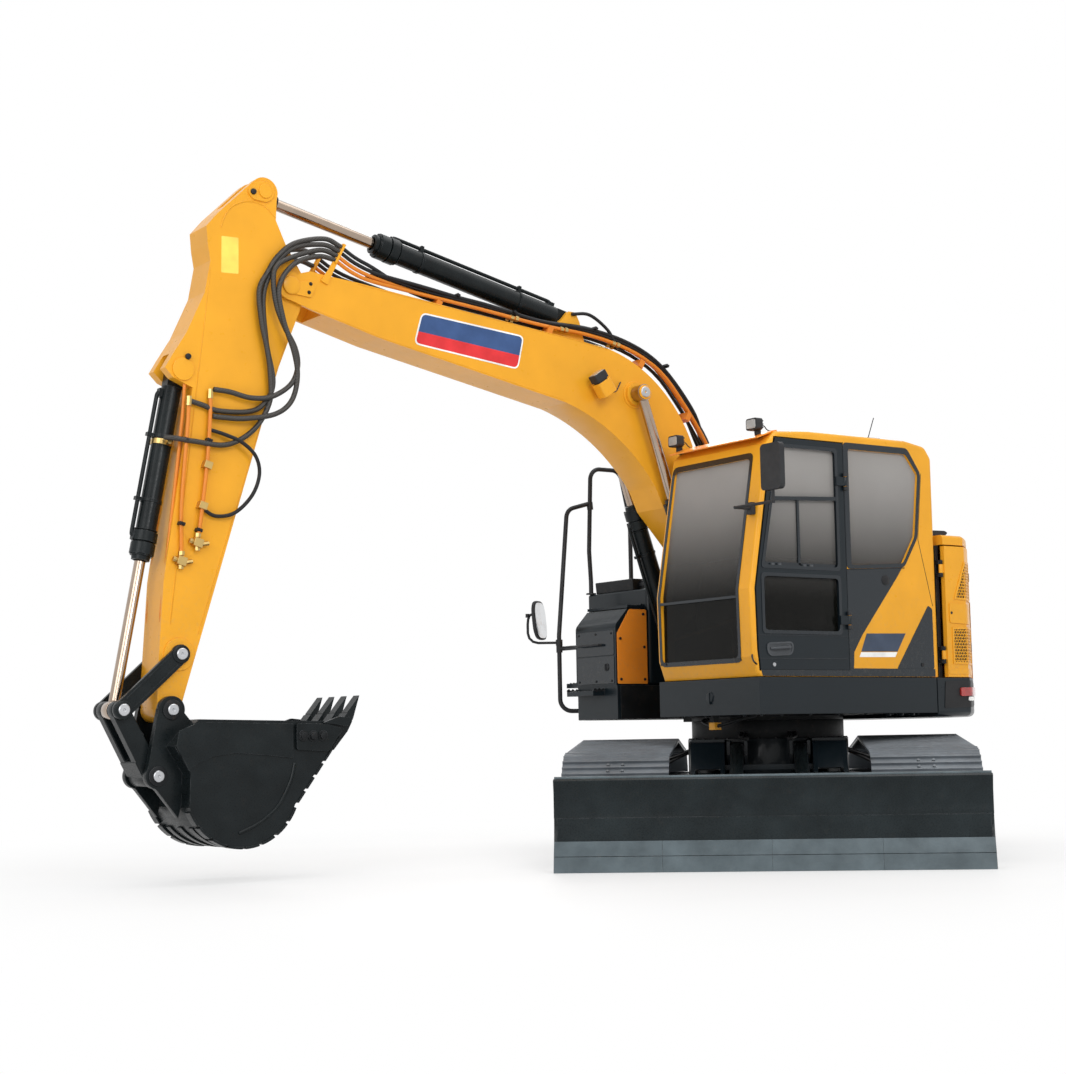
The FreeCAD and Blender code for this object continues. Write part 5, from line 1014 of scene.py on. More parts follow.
kit = Kit("hood_top_duct", "hood", "plastic", rounding=0.006)
kit.lathe([(0, 0.06), (0.028, 0.055)], (-0.98, 0.72, 2.203), (0, 0, 1), 28)
kit.prism(soft_corners([(-0.88, 2.258), (-1.1, 2.262), (-1.13, 2.285), (-1.1, 2.3), (-0.9, 2.296),
                        (-0.86, 2.275)], 0.012), 0.66, 0.78)
kit.box((-0.99, -0.96), (0.7, 0.74), (2.225, 2.262))
for y in (-0.5, 0.35):
    kit.prism(soft_corners(rect(-0.64, -0.7, y - 0.05, y + 0.05), 0.01), 2.2055, 2.2125, "Z")
kit.done()
kit = Kit("hood_amber", "hood", "amber", rounding=0.003)
kit.prism(soft_corners([(-0.89, 2.255), (-0.975, 2.258), (-0.975, 2.23), (-0.9, 2.228)], 0.006), 0.675, 0.765)
kit.done()
kit = Kit("exhaust_pipe", "hood", "cast", rounding=0)
kit.bar(bent([(-0.98, -0.85, 2.2), (-0.98, -0.85, 2.29), (-1.06, -0.85, 2.325)]), 0.042, 20)
kit.lathe([(0, 0.066), (0.004, 0.066), (0.01, 0.05)], (-0.98, -0.85, 2.204), (0, 0, 1), 28)
kit.done()

kit = Kit("deck_fittings", "upper", "slate", rounding=0.002)
kit.lathe([(0, 0.04), (0.008, 0.036), (0.01, 0.026)], (1.1368, 0.736, 1.079), (1, 0, 0), 6)
kit.box((1.138, 1.152), (0.728, 0.744), (1.035, 1.112))
for y in (0.3, 0.55, 0.95, 1.12):
    kit.bolt((1.02, y, DECK_UNDERSIDE), (0, 0, -1), 0.01)
for x in (-0.35, -0.1, 0.15, 0.4, 0.65, 0.9):
    kit.bolt((x, 1.18, DECK_UNDERSIDE), (0, 0, -1), 0.009)
for x in (-0.35, -0.24, -0.12):
    kit.lathe([(0, 0.022), (0.014, 0.018)], (x, 1.12, DECK_UNDERSIDE), (0, 0, -1), 16)
kit.bar([(-0.4835, 1.2445, 0.97), (-0.4835, 1.2445, 1.19)], 0.0025, 6)
kit.done()
kit = Kit("under_deck_valve", "upper", "yellow", rounding=0.003)
kit.box((0.97, 1.03), (0.585, 0.645), (0.865, 0.915))
kit.done()
kit = Kit("under_deck_lines", "upper", "cast", rounding=0)
kit.box((0.975, 1.025), (0.6, 0.63), (0.914, 0.958))
kit.bar(flowing([(0.99, 0.59, 0.89), (0.97, 0.5, 0.9), (0.9, 0.36, 0.925), (0.8, 0.3, 0.94)]), 0.011, 8)
kit.bar(flowing([(1.0, 0.64, 0.89), (0.98, 0.74, 0.91), (0.93, 0.84, 0.94), (0.88, 0.9, 0.955)]), 0.011, 8)
kit.done()

# ---------------------------------------------------------------- toolbox, tanks and steps

TOOLBOX_INNER, TOOLBOX_OUTER = -0.444, -0.951        # the outer faces of its side panels
TANK_TOP = 1.9155

side_panel = soft_corners([(0.748, 1.212), (1.02, 1.212), (1.02, 1.58), (0.985, 1.632), (0.905, 1.755),
                           (0.748, 1.755)], 0.012)
# the toolbox's inner side panel in the orange copy of the yellow: painted shade; its outer panel has the
# plain yellow
kit = Kit("toolbox_side_panel", "upper", "orange_panel", rounding=0.002)
kit.prism(side_panel, -0.4496, TOOLBOX_INNER)
kit.done()
kit = Kit("toolbox_outer_panel", "upper", "yellow", rounding=0.002)
kit.prism(side_panel, TOOLBOX_OUTER, -0.9454)
kit.done()
kit = Kit("toolbox_bolts", "upper", "rubber", rounding=0.0008)
for x, z in ((0.775, 1.245), (0.99, 1.245), (0.992, 1.54), (0.775, 1.48), (0.78, 1.72)):
    kit.bolt((x, TOOLBOX_INNER, z), (0, 1, 0), 0.009)
    kit.bolt((x, TOOLBOX_OUTER, z), (0, -1, 0), 0.009)
kit.done()

kit = Kit("toolbox_front_panel", "upper", "gloss", rounding=0.003)
for low, high in ((1.215, 1.415), (1.422, 1.6)):
    kit.prism(soft_corners(rect(-0.925, -0.47, low, high), 0.012), 1.0302, 1.0345, "X")
kit.done()
kit = Kit("toolbox_fittings", "upper", "plastic")
kit.lathe([(0, 0.03), (0.006, 0.028), (0.01, 0.012)], (1.034, -0.56, 1.335), (1, 0, 0))
kit.box((1.04, 1.052), (-0.566, -0.554), (1.312, 1.358))
for y in (-0.9, -0.69, -0.5):
    for z in (1.235, 1.58):
        kit.bolt((1.034, y, z), (1, 0, 0), 0.008)
kit.bar(bent([(1.03, -0.9, 1.5), (1.085, -0.9, 1.5), (1.085, -0.62, 1.5), (1.03, -0.62, 1.5)]), 0.009)
kit.done()


def tread(kit, x, y, z, rows, columns):
    """Raised teeth of a grip step."""
    for i in range(rows):
        for j in range(columns):
            u = x[0] + (x[1] - x[0]) * (i + 0.5) / rows
            v = y[0] + (y[1] - y[0]) * (j + 0.5) / columns
            kit.lathe([(-0.001, 0.009), (0.006, 0.006), (0.006, 0.003)], (u, v, z), (0, 0, 1), 8)


kit = Kit("step_treads", "upper", "cast", rounding=0, slot="frame_slate")
tread(kit, (1.036, 1.13), (-0.92, -0.6), 1.165, 3, 9)
tread(kit, (0.74, 0.975), (-1.14, -0.95), 1.234, 7, 5)
for y in (-0.925, -0.597):
    kit.prism([(1.03, 1.165), (1.135, 1.165), (1.135, 1.178), (1.118, 1.188), (1.1, 1.174), (1.082, 1.188),
               (1.064, 1.174), (1.046, 1.188), (1.03, 1.178)], y, y + 0.006)
for x in (0.6, 0.3):
    kit.lathe([(0, 0.06), (0.03, 0.056), (0.036, 0.045)], (x, -0.62, TANK_TOP), (0, 0, 1), 28)
for x in (0.36, 0.4, 0.44, 0.48, 0.52, 0.56):
    kit.box((x, x + 0.012), (-1.1, -0.74), (TANK_TOP, 1.9275))
kit.done()

kit = Kit("tank_step", "upper", "cast", rounding=0.006, slot="cab_plastic")
kit.prism(soft_corners([(0.5, 1.912), (0.712, 1.912), (0.722, 2.0), (0.5, 2.0)], 0.01), -1.11, -0.64)
kit.done()
kit = Kit("lid_tread", "toolbox_lid", "cast", rounding=0, slot="frame_slate")
tread(kit, (0.78, 0.885), (-0.92, -0.475), 1.785, 3, 10)
kit.done()

kit = Kit("tank_caps", "upper", "plastic", rounding=0.002)
kit.lathe([(0, 0.062), (0.02, 0.06), (0.026, 0.048), (0.04, 0.048), (0.044, 0.04)], (0.6, -0.62, 1.945),
          (0, 0, 1))
kit.lathe([(0, 0.075), (0.014, 0.073), (0.02, 0.06)], (-0.18, -0.8, 2.01), (0, 0, 1), 32)
for u, v in around(8, 0.062):
    kit.bolt((-0.18 + u, -0.8 + v, 2.023), (0, 0, 1), 0.006)
kit.bar(bent([(0.1, -0.7, 2.01), (0.1, -0.7, 2.07), (-0.02, -0.7, 2.07), (-0.02, -0.7, 2.01)]), 0.01)
kit.done()

kit = Kit("rail_clamps", "upper", "rail", rounding=0.001)
for x in (0.716, 0.33):
    kit.lathe([(-0.003, 0.04), (0.008, 0.038), (0.01, 0.02)], (x, RAIL_Y, 1.919), (0, 0, 1))
kit.lathe([(-0.03, 0.024), (0.03, 0.024)], (1.023, RAIL_Y, 1.5), (0, 0, 1), 18)
kit.lathe([(-0.03, 0.024), (0.03, 0.024)], (0.712, RAIL_Y, 2.6), (0.1, 0, 1), 18)
kit.done()

# ---------------------------------------------------------------- boom trim

BOOM_SIDE = 0.155
LINE_RADIUS = 0.0125        # of the steel lines and hoses on the boom and the arm


def between(one, two, share):
    return tuple(a + (b - a) * share for a, b in zip(one, two))


# the blank sign on each side: a white edge round a blue and a red field
sign = [(3.64, 0.4), (2.888, 0.722), (2.822, 0.487), (3.59, 0.178)]
inner = ring_of(sign, -0.011)
left_split, right_split = between(inner[3], inner[0], 0.4), between(inner[2], inner[1], 0.4)
sign_parts = [
    ("edge", "white", 0.045, sign, 0.0003, 0.0015),
    ("upper", "blue", (0.034, 0.034, 0, 0), [inner[0], inner[1], right_split, left_split], 0.0015, 0.0022),
    ("lower", "sign_red", (0, 0, 0.034, 0.034), [left_split, right_split, inner[2], inner[3]], 0.0015,
     0.0022)]
for side, tag in SIDES:
    for part, finish, radii, outline, low, high in sign_parts:
        kit = Kit(f"boom_sign_{part}_{tag}", "boom", finish, BOOM, 0)
        kit.prism(soft_corners(outline, radii), *span(side, BOOM_SIDE + low, BOOM_SIDE + high))
        kit.done()

kit = Kit("boom_fittings", "boom", "yellow", BOOM, 0.003)
kit.bosses([(-0.002, 0.105), (0.01, 0.103), (0.012, 0.06)], 0, 0.156, 0, 40)
kit.bosses([(-0.002, 0.098), (0.006, 0.096), (0.008, 0.06)], 1.912, 0.156, 0.88, 40)
kit.bosses([(-0.002, 0.06), (0.014, 0.058), (0.018, 0.048)], 4.516, 0.156, 0, 36)
kit.cheeks(soft_corners([(4.49, 0.04), (4.56, 0.01), (4.5, -0.05), (4.36, 0.01), (4.372, 0.105),
                         (4.43, 0.098)], 0.02), BOOM_SIDE, 0.166)
kit.box((2.175, 2.275), (0.154, 0.16), (0.72, 0.78))
kit.box((2.195, 2.255), (0.158, 0.215), (0.73, 0.77))
# weld seams along the box's plates
for line in ([(0.14, 0.127), (1.25, 0.8)], [(2.26, 1.038), (2.5, 0.95), (4.12, 0.29)],
             [(1.33, 0.305), (0.1, -0.102)], [(2.4, 0.515), (3.815, 0.078), (4.3, -0.038)]):
    kit.beads(line, BOOM_SIDE)
kit.done()

kit = Kit("boom_pins", "boom", "pin", BOOM, 0.002)
kit.bosses([(0, 0.04), (0.012, 0.038), (0.014, 0.02)], 0, 0.168, 0, 28)
kit.done()
kit = Kit("boom_keepers", "boom", "rubber", BOOM, 0.001)
for side in (1, -1):
    for x, y, z in ((4.408, 0.166, 0.085), (4.392, 0.166, 0.03), (0.07, 0.164, 0.03)):
        kit.bolt((x, side * y, z), (0, side, 0), 0.01)
kit.done()

aim = BOOM @ Matrix.Translation((2.225, 0.235, 0.75)) @ Matrix.Rotation(math.radians(-28), 4, "Y")
kit = Kit("boom_lamp", "boom", "plastic", aim, 0.003)
kit.prism(soft_corners(rect(-0.045, 0.045, -0.055, 0.055), 0.018), 0.03, 0.085, "X")
kit.prism(soft_corners(rect(-0.036, 0.036, -0.045, 0.045), 0.018), -0.02, 0.031, "X")
kit.bar(flowing([(-0.015, 0, 0.0), (-0.06, 0.01, 0.01), (-0.1, -0.01, 0.08), (-0.08, -0.07, 0.2)]), 0.005, 8)
kit.done()
kit = Kit("boom_lamp_lens", "boom", "clear", aim, 0.002)
kit.prism(soft_corners(rect(-0.035, 0.035, -0.045, 0.045), 0.012), 0.083, 0.09, "X")
kit.done()
kit = Kit("boom_lamp_shroud", "boom", "yellow", aim, 0.004)
kit.prism(soft_corners(rect(-0.048, 0.048, -0.058, 0.058), 0.014), -0.085, 0.02, "X")
kit.done()

# the line over the boom's top that its lines follow, as (along, up) in the boom's frame
TOP = [(3.7, 0.515), (3.2, 0.722), (2.8, 0.88), (2.4, 1.07), (2.05, 1.175), (1.75, 1.185), (1.4, 1.05),
       (1.15, 0.925)]
# each side's lines, as (sideways, lift over TOP); the last two are dark
LINES = [(0.128, 0.0), (0.092, 0.012), (0.11, 0.034), (0.056, 0.0)]
for side, tag in SIDES:
    steel_kit = Kit(f"boom_steel_lines_{tag}", "boom", "orange", BOOM, 0)
    dark_kit = Kit(f"boom_dark_lines_{tag}", "boom", "rubber", BOOM, 0)
    for level, (y, lift) in enumerate(LINES):
        kit = dark_kit if level > 1 else steel_kit
        line = [(x, side * y, z + lift) for x, z in TOP]
        start = [(x, side * 0.162, z + 0.034 * level)
                 for x, z in ((4.334, 0.326), (4.22, 0.322), (4.08, 0.345))]
        end = [(1.02, side * y, 0.8 + lift), (0.91, side * y, 0.668 + lift), (0.88, side * y, 0.57)]
        kit.bar(bent(start + line + end), LINE_RADIUS, 10)
    for x, z in ((3.55, 0.5), (2.72, 0.86), (1.95, 1.095), (1.42, 0.985)):
        steel_kit.box((x - 0.02, x + 0.02), span(side, 0.04, 0.146), (z, z + 0.06))
    steel_kit.done()
    dark_kit.done()
    kit = Kit(f"boom_brass_fittings_{tag}", "boom", "brass", BOOM, 0.001)
    for x in (3.0, 2.62, 2.2):
        one, two = min(zip(TOP, TOP[1:]), key=lambda pair: abs((pair[0][0] + pair[1][0]) / 2 - x))
        z = one[1] + (two[1] - one[1]) * (x - one[0]) / (two[0] - one[0])
        for y, lift in (LINES[0], LINES[1], LINES[3]):
            for profile in ([(-0.032, 0.018), (-0.006, 0.018)], [(0.006, 0.02), (0.03, 0.02)]):
                kit.lathe(profile, (x, side * y, z + lift), (two[0] - one[0], 0, two[1] - one[1]), 6)
    kit.done()

kit = Kit("boom_top_hoses", "boom", "rubber", BOOM, 0)
for y, lift, drift in ((0.118, 0.04, 0.0), (0.085, 0.052, 0.006), (0.02, 0.045, -0.01)):
    line = [(x, y + drift * math.sin(x * 5), z + lift + 0.008 * math.sin(x * 7 + y * 40))
            for x, z in TOP if 1.3 < x < 3.3]
    start = [(4.06, y + 0.035, 0.42), (3.72, y + 0.02, 0.56), (3.45, y, 0.668)]
    end = [(x, y, z) for x, z in ((1.22, 0.965), (1.05, 0.845), (0.95, 0.72), (0.925, 0.605))]
    kit.bar(flowing(start + line + end, 6), LINE_RADIUS, 10)
kit.bar(flowing([(2.6, 0.1, 1.12), (2.48, 0.12, 1.19), (2.3, 0.12, 1.185), (2.16, 0.11, 1.13),
                 (2.05, 0.1, 1.205)], 8), 0.012, 10)
for x, z in ((3.45, 0.655), (3.02, 0.815), (2.4, 1.105), (1.75, 1.222)):
    kit.box((x - 0.012, x + 0.012), (0.045, 0.15), (z + 0.012, z + 0.03))
kit.done()

kit = Kit("boom_tip_stand", "boom", "yellow", BOOM, 0.002)
kit.cheeks(soft_corners([(4.305, 0.15), (4.36, 0.146), (4.348, 0.24), (4.343, 0.456), (4.317, 0.456),
                         (4.312, 0.24)], 0.006), BOOM_SIDE, 0.169)
for side in (1, -1):
    kit.box((4.322, 4.338), span(side, 0.141, 0.184), (0.304, 0.452))
kit.done()

# ---------------------------------------------------------------- arm trim

ARM_SIDE = 0.125

kit = Kit("arm_fittings", "arm", "yellow", ARM, 0.003)
kit.cheeks(soft_corners([(-0.59, 0.3), (-0.56, 0.4), (-0.47, 0.45), (-0.43, 0.4), (-0.455, 0.29),
                         (-0.52, 0.26)], 0.03), 0.124, 0.137)
kit.bosses([(0, 0.046), (0.01, 0.044)], -0.514, 0.136, 0.333, 32)
kit.bosses([(-0.002, 0.072), (0.012, 0.07), (0.014, 0.045)], 0.784, ARM_SIDE, 0.517, 36)
kit.bosses([(-0.002, 0.1), (0.01, 0.098), (0.012, 0.05)], 2.454, ARM_SIDE, 0.034, 36)
arch = [(-0.17, 0.543), (-0.28, 0.532), (-0.356, 0.488), (-0.412, 0.41), (-0.427, 0.312), (-0.388, 0.212)]
for side in (1, -1):
    kit.bar(flowing([(x, side * ARM_SIDE, z) for x, z in arch]), 0.005, 8)
kit.beads([(0.1, 0.535), (0.45, 0.47), (0.9, 0.392), (2.3, 0.14)], ARM_SIDE)
kit.beads([(0.25, -0.085), (2.3, -0.05)], ARM_SIDE)
kit.done()

for side, tag in SIDES:
    kit = Kit(f"arm_label_{tag}", "arm", "pale_yellow", ARM, 0)
    kit.prism(soft_corners([(-0.119, 0.522), (-0.155, 0.412), (0.066, 0.345), (0.104, 0.457)], 0.008),
              *span(side, 0.1254, 0.1264))
    kit.done()

kit = Kit("arm_keepers", "arm", "rubber", ARM, 0.001)
for x, z in ((-0.478, 0.408), (0.7, 0.512)):
    kit.bosses([(0, 0.02), (0.012, 0.018), (0.014, 0.01)], x, 0.136, z, 16)
kit.done()

# sideways distance, tube radius and (along, up) points
ARM_LINES = [(0.155, LINE_RADIUS, [(0.9, 0.305), (1.0, 0.275), (1.3, 0.205), (1.62, 0.15), (1.72, 0.135)]),
             (0.145, LINE_RADIUS, [(0.985, 0.425), (1.1, 0.395), (1.6, 0.29), (1.8, 0.225), (1.87, 0.205)]),
             (0.1, 0.011, [(0.86, 0.47), (1.05, 0.425), (2.24, 0.21), (2.3, 0.19)])]
for side, tag in SIDES:
    kit = Kit(f"arm_steel_lines_{tag}", "arm", "orange", ARM, 0)
    for y, radius, line in ARM_LINES:
        kit.bar(bent([(x, side * y, z) for x, z in line]), radius, 10)
    kit.done()
    kit = Kit(f"arm_couplings_{tag}", "arm", "brass", ARM, 0.0012)
    for x, z in ((1.3, 0.205), (1.55, 0.163)):
        kit.box((x - 0.022, x + 0.022), span(side, 0.124, 0.178), (z - 0.026, z + 0.026))
    for x, y, z in ((1.755, 0.15, 0.13), (1.895, 0.145, 0.197)):
        kit.box((x - 0.004, x + 0.048), span(side, y - 0.028, y + 0.028), (z - 0.032, z + 0.026))
        for start, end, radius, u, w, way in ((-0.038, -0.012, 0.019, 0, 0, (1, 0, -0.22)),
                                              (0.02, 0.05, 0.017, 0.02, -0.004, (1, 0, -0.3)),
                                              (0, 0.04, 0.016, 0.022, 0.01, (0, 0, 1)),
                                              (0, 0.05, 0.014, 0.022, -0.03, (-0.5, 0, -1))):
            kit.lathe([(start, radius), (end, radius)], (x + u, side * y, z + w), way, 6)
    for x, z in ((0.87, 0.312), (0.965, 0.432)):
        kit.lathe([(-0.03, 0.017), (0.03, 0.017)], (x, side * 0.152, z), (1, 0, -0.25), 6)
    kit.done()
    kit = Kit(f"arm_clamps_{tag}", "arm", "rubber", ARM, 0.001)
    for x, z in ((1.15, 0.238), (1.2, 0.378), (1.7, 0.14), (1.7, 0.258)):
        kit.box((x - 0.01, x + 0.01), span(side, 0.124, 0.17), (z - 0.018, z + 0.018))
        kit.bolt((x, side * 0.169, z), (0, side, 0), 0.007)
    kit.done()

# ---------------------------------------------------------------- hoses from the boom to the arm

# each hose's points in the arm's own frame, as (along, sideways, up)
HOSES = [
    [(-0.384, 0.162, -0.258), (-0.385, 0.162, -0.13), (-0.275, 0.16, 0.05), (-0.144, 0.164, 0.14),
     (-0.015, 0.172, 0.18), (0.125, 0.172, 0.202), (0.314, 0.175, 0.129), (0.462, 0.175, 0.046),
     (0.6, 0.172, -0.02), (0.775, 0.168, -0.07), (0.976, 0.165, -0.022), (1.134, 0.165, 0.12),
     (1.19, 0.16, 0.32), (1.214, 0.15, 0.44), (1.222, 0.11, 0.5)],
    [(-0.317, 0.162, -0.245), (-0.3, 0.162, -0.12), (-0.158, 0.175, 0.066), (-0.058, 0.19, 0.144),
     (0.04, 0.196, 0.138), (0.179, 0.196, 0.073), (0.288, 0.196, -0.018), (0.39, 0.194, -0.127),
     (0.497, 0.192, -0.178), (0.621, 0.19, -0.166), (0.743, 0.185, -0.067), (0.8, 0.175, 0.06),
     (0.815, 0.165, 0.2), (0.838, 0.158, 0.303)],
    [(-0.284, 0.162, -0.238), (-0.255, 0.165, -0.12), (-0.13, 0.185, 0.03), (0.06, 0.208, 0.095),
     (0.25, 0.21, 0.01), (0.42, 0.208, -0.12), (0.56, 0.202, -0.19), (0.72, 0.196, -0.198),
     (0.84, 0.188, -0.12), (0.94, 0.178, 0.06), (0.985, 0.165, 0.2), (1.0, 0.158, 0.262)],
    [(-0.351, 0.162, -0.252), (-0.34, 0.16, -0.12), (-0.205, 0.154, 0.08), (0.09, 0.158, 0.165),
     (0.4, 0.16, 0.065), (0.64, 0.158, -0.06), (0.79, 0.155, -0.044), (0.881, 0.152, 0.04),
     (0.95, 0.15, 0.23), (0.955, 0.148, 0.34), (0.96, 0.146, 0.425)],
]
for side, tag in SIDES:
    for index, line in enumerate(HOSES[:4 if side > 0 else 2]):
        kit = Kit(f"crossing_hose_{tag}_{index}", None, "hose", ARM, 0)
        kit.bar(flowing([(x, side * y, z) for x, y, z in line], 10), 0.0165, 12)
        hose = kit.done()
        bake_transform(hose)

kit = Kit("arm_hose_clips", "arm", "rubber", ARM, 0.001)
kit.bar(flowing([(1.085, 0.149, 0.264), (1.081, 0.165, 0.16), (1.09, 0.18, 0.04), (1.14, 0.185, -0.07),
                 (1.24, 0.18, -0.13), (1.38, 0.17, -0.125), (1.52, 0.16, -0.05), (1.58, 0.152, 0.06),
                 (1.566, 0.149, 0.152)]), 0.012, 10)
kit.done()

# ---------------------------------------------------------------- bucket and its linkage

BOWL_MIDDLE, BOWL_RADIUS = (-0.404, -0.451), 0.368        # of the bucket's round back


def bowl_band(start, end, steps, thickness):
    """The outline of a band on the bowl, between two angles in degrees."""
    turns = [math.radians(start + (end - start) * i / steps) for i in range(steps + 1)]
    return [(BOWL_MIDDLE[0] + radius * math.cos(t), BOWL_MIDDLE[1] + radius * math.sin(t))
            for radius, row in ((BOWL_RADIUS, turns), (BOWL_RADIUS + thickness, turns[::-1])) for t in row]


kit = Kit("bucket_side_plates", "bucket", "black", BUCKET, 0.004)
for side in (1, -1):
    kit.prism([(0.01, -0.125), (-0.12, -0.075), (-0.735, -0.09), (-0.735, -0.3), (-0.55, -0.279),
               (-0.356, -0.263), (-0.204, -0.281), (-0.11, -0.322), (-0.05, -0.362), (-0.012, -0.29),
               (0.03, -0.215)], *span(side, 0.2995, 0.308))
    kit.prism(soft_corners([(-0.752, -0.088), (-0.975, -0.094), (-1.07, -0.125), (-0.975, -0.262),
                            (-0.752, -0.25)], 0.02), *span(side, 0.2995, 0.322))
    kit.prism(soft_corners([(-0.93, -0.088), (-1.1, -0.11), (-1.13, -0.06), (-1.04, -0.05)], 0.012),
              *span(side, 0.3085, 0.33))
    arc = [(-0.748, -0.33), (-0.717, -0.441), (-0.64, -0.575), (-0.549, -0.655), (-0.471, -0.7),
           (-0.375, -0.738)]
    kit.bar(flowing([(x, side * 0.3, z) for x, z in arc]), 0.011, 8)
kit.done()

kit = Kit("bucket_wear_strips", "bucket", "black", BUCKET, 0.003)
for start in (203, 220, 237, 254, 271, 288, 305, 322):
    kit.cheeks(bowl_band(start, start + 14, 5, 0.015), 0.236, 0.309)
floor_start, floor_end = Vector((-1.06, -0.163)), Vector((-0.752, -0.577))
out = Vector((-0.803, -0.597)).normalized() * 0.013
for index in range(5):
    one, two = (floor_start.lerp(floor_end, index / 5 + share) for share in (0.01, 0.17))
    kit.cheeks([tuple(one), tuple(two), tuple(two + out), tuple(one + out)], 0.236, 0.309)
for y in (-0.16, 0.0, 0.16):
    kit.prism(bowl_band(215, 318, 26, 0.011), y - 0.03, y + 0.03)
kit.done()

kit = Kit("bucket_bolts", "bucket", "cast", BUCKET)
for x, z in ((-0.795, -0.165), (-0.862, -0.168), (-0.93, -0.166)):
    kit.bosses([(-0.001, 0.034), (0.006, 0.034)], x, 0.322, z, 20)
    kit.bosses([(0.005, 0.024), (0.02, 0.024), (0.022, 0.019)], x, 0.322, z, 6)
kit.bosses([(0, 0.062), (0.01, 0.06), (0.013, 0.046)], 0, 0.177, 0, 32)
kit.bosses([(0, 0.06), (0.01, 0.058), (0.013, 0.044)], 0.091, 0.177, -0.39, 32)
for index in range(4):
    y = (index - 1.5) * 0.162
    for away in (1, -1):
        kit.lathe([(-0.002, 0.012), (0.006, 0.011)], (-1.115, y + away * 0.043, -0.085), (0, away, 0), 12)
kit.done()


def pin_heads(name, body, where, spots):
    """Bright pin ends with a centre hole, on both sides, as (x, y, z, radius)."""
    kit = Kit(name, body, "pin", where)
    for x, y, z, radius in spots:
        kit.bosses([(0, radius), (0.012, radius), (0.016, radius * 0.86), (0.016, radius * 0.25),
                    (0.01, radius * 0.15)], x, y, z, 28)
    kit.done()


ROCKER = pin_frame("rocker_turn", -42.1)
LINK = pin_frame("link_turn", 61.76)
pin_heads("bucket_pin_heads", "bucket", BUCKET, [(0, 0.189, 0, 0.035), (0.091, 0.189, -0.39, 0.035)])
pin_heads("arm_pin_heads", "arm", ARM, [(2.454, 0.17, 0.034, 0.036)])
pin_heads("rocker_pin_heads", "rocker", ROCKER, [(0.494, 0.17, 0, 0.036)])

kit = Kit("rocker_bosses", "rocker", "black", ROCKER, 0.003)
for x in (0, 0.494):
    kit.bosses([(-0.001, 0.057), (0.007, 0.055), (0.01, 0.044)], x, 0.161, 0, 36)
for z in (-0.04, 0.03):
    kit.cheeks(rect(0.06, 0.434, z, z + 0.01), 0.16, 0.1645)
kit.lathe([(-0.131, 0.034), (0.131, 0.034)], (0.494, 0, 0), (0, 1, 0), 28)
kit.done()
kit = Kit("link_ribs", "link", "black", LINK, 0.003)
kit.bosses([(-0.001, 0.056), (0.004, 0.054)], 0, 0.125, 0, 32)
for z in (0.058, -0.058):
    kit.prism(rect(0.03, 0.125, z - 0.006, z + 0.006), -0.118, 0.118)
kit.done()

# ---------------------------------------------------------------- cylinders


def ram_frame(ram):
    """The frame of a cylinder along its stroke, with its origin on its foot pin."""
    rows = {row["name"]: row for row in frame["record"]["behaviour"]["joints"]}
    axis = rows[f"{ram}_stroke"]["axis"]
    return pin_frame(f"{ram}_tilt", math.degrees(math.atan2(axis[2], axis[0])))


# name, body, where each one stands across, barrel radius, gland's place along it, rod radius, line's side
RAMS = [
    ("boom_cylinder", "boom_barrels", (0.235, -0.235), 0.062, 1.453, 0.036, -1),
    ("arm_cylinder", "arm_barrel", (0.0,), 0.072, 1.563, 0.038, 1),
    ("bucket_cylinder", "bucket_barrel", (0.0,), 0.062, 1.163, 0.034, 1),
]
for name, body, rows, radius, gland, rod, way in RAMS:
    kit = Kit(f"{name}_glands", body, "black", ram_frame(name), 0.002)
    for y in rows:
        for start, end, grow in ((gland - 0.165, gland - 0.155, 0.01), (gland - 0.15, gland - 0.085, 0.016),
                                 (gland - 0.08, gland - 0.006, 0.013)):
            kit.lathe([(start, radius - 0.002), (start + 0.003, radius + grow), (end - 0.003, radius + grow),
                       (end, radius - 0.002)], (0, y, 0), (1, 0, 0), 36, True)
        kit.lathe([(gland - 0.01, radius - 0.004), (gland + 0.026, radius - 0.006),
                   (gland + 0.03, rod + 0.008), (gland - 0.01, rod + 0.008)], (0, y, 0), (1, 0, 0), 36, True)
        for u, v in around(8, radius + 0.003):
            kit.bolt((gland - 0.007, y + u, v), (1, 0, 0), 0.008)
        off, bend = way * (radius + 0.024), gland - 0.115
        kit.bar(bent([(0.15, y, way * radius * 0.9), (0.15, y, off), (0.22, y, off), (gland - 0.2, y, off),
                      (bend, y, off), (bend, y, way * (radius + 0.008))]), 0.013, 12)
        for x in (0.15, bend):
            kit.box((x - 0.026, x + 0.026), (y - 0.022, y + 0.022), span(way, radius - 0.01, radius + 0.02))
        for x in (0.42, gland - 0.34):
            kit.lathe([(x - 0.01, radius - 0.002), (x - 0.009, radius + 0.005), (x + 0.009, radius + 0.005),
                       (x + 0.01, radius - 0.002)], (0, y, 0), (1, 0, 0), 32, True)
            kit.box((x - 0.011, x + 0.011), (y - 0.018, y + 0.018), span(way, radius, radius + 0.044))
        for away in (1, -1):
            kit.lathe([(-0.001, radius * 0.72), (0.004, radius * 0.7)], (0, y + away * 0.043, 0),
                      (0, away, 0), 28)
    kit.done()

# the dark sleeve at the arm cylinder's rod end
place = ram_frame("arm_cylinder")
eye = (place.inverted() @ ARM @ Vector((-0.514, 0, 0.333))).x
kit = Kit("arm_rod_sleeve", "arm_rod", "black", place, 0.002)
kit.lathe([(eye - 0.142, 0.04), (eye - 0.139, 0.051), (eye - 0.101, 0.051), (eye - 0.099, 0.04)], (0, 0, 0),
          (1, 0, 0), 32, True)
kit.done()

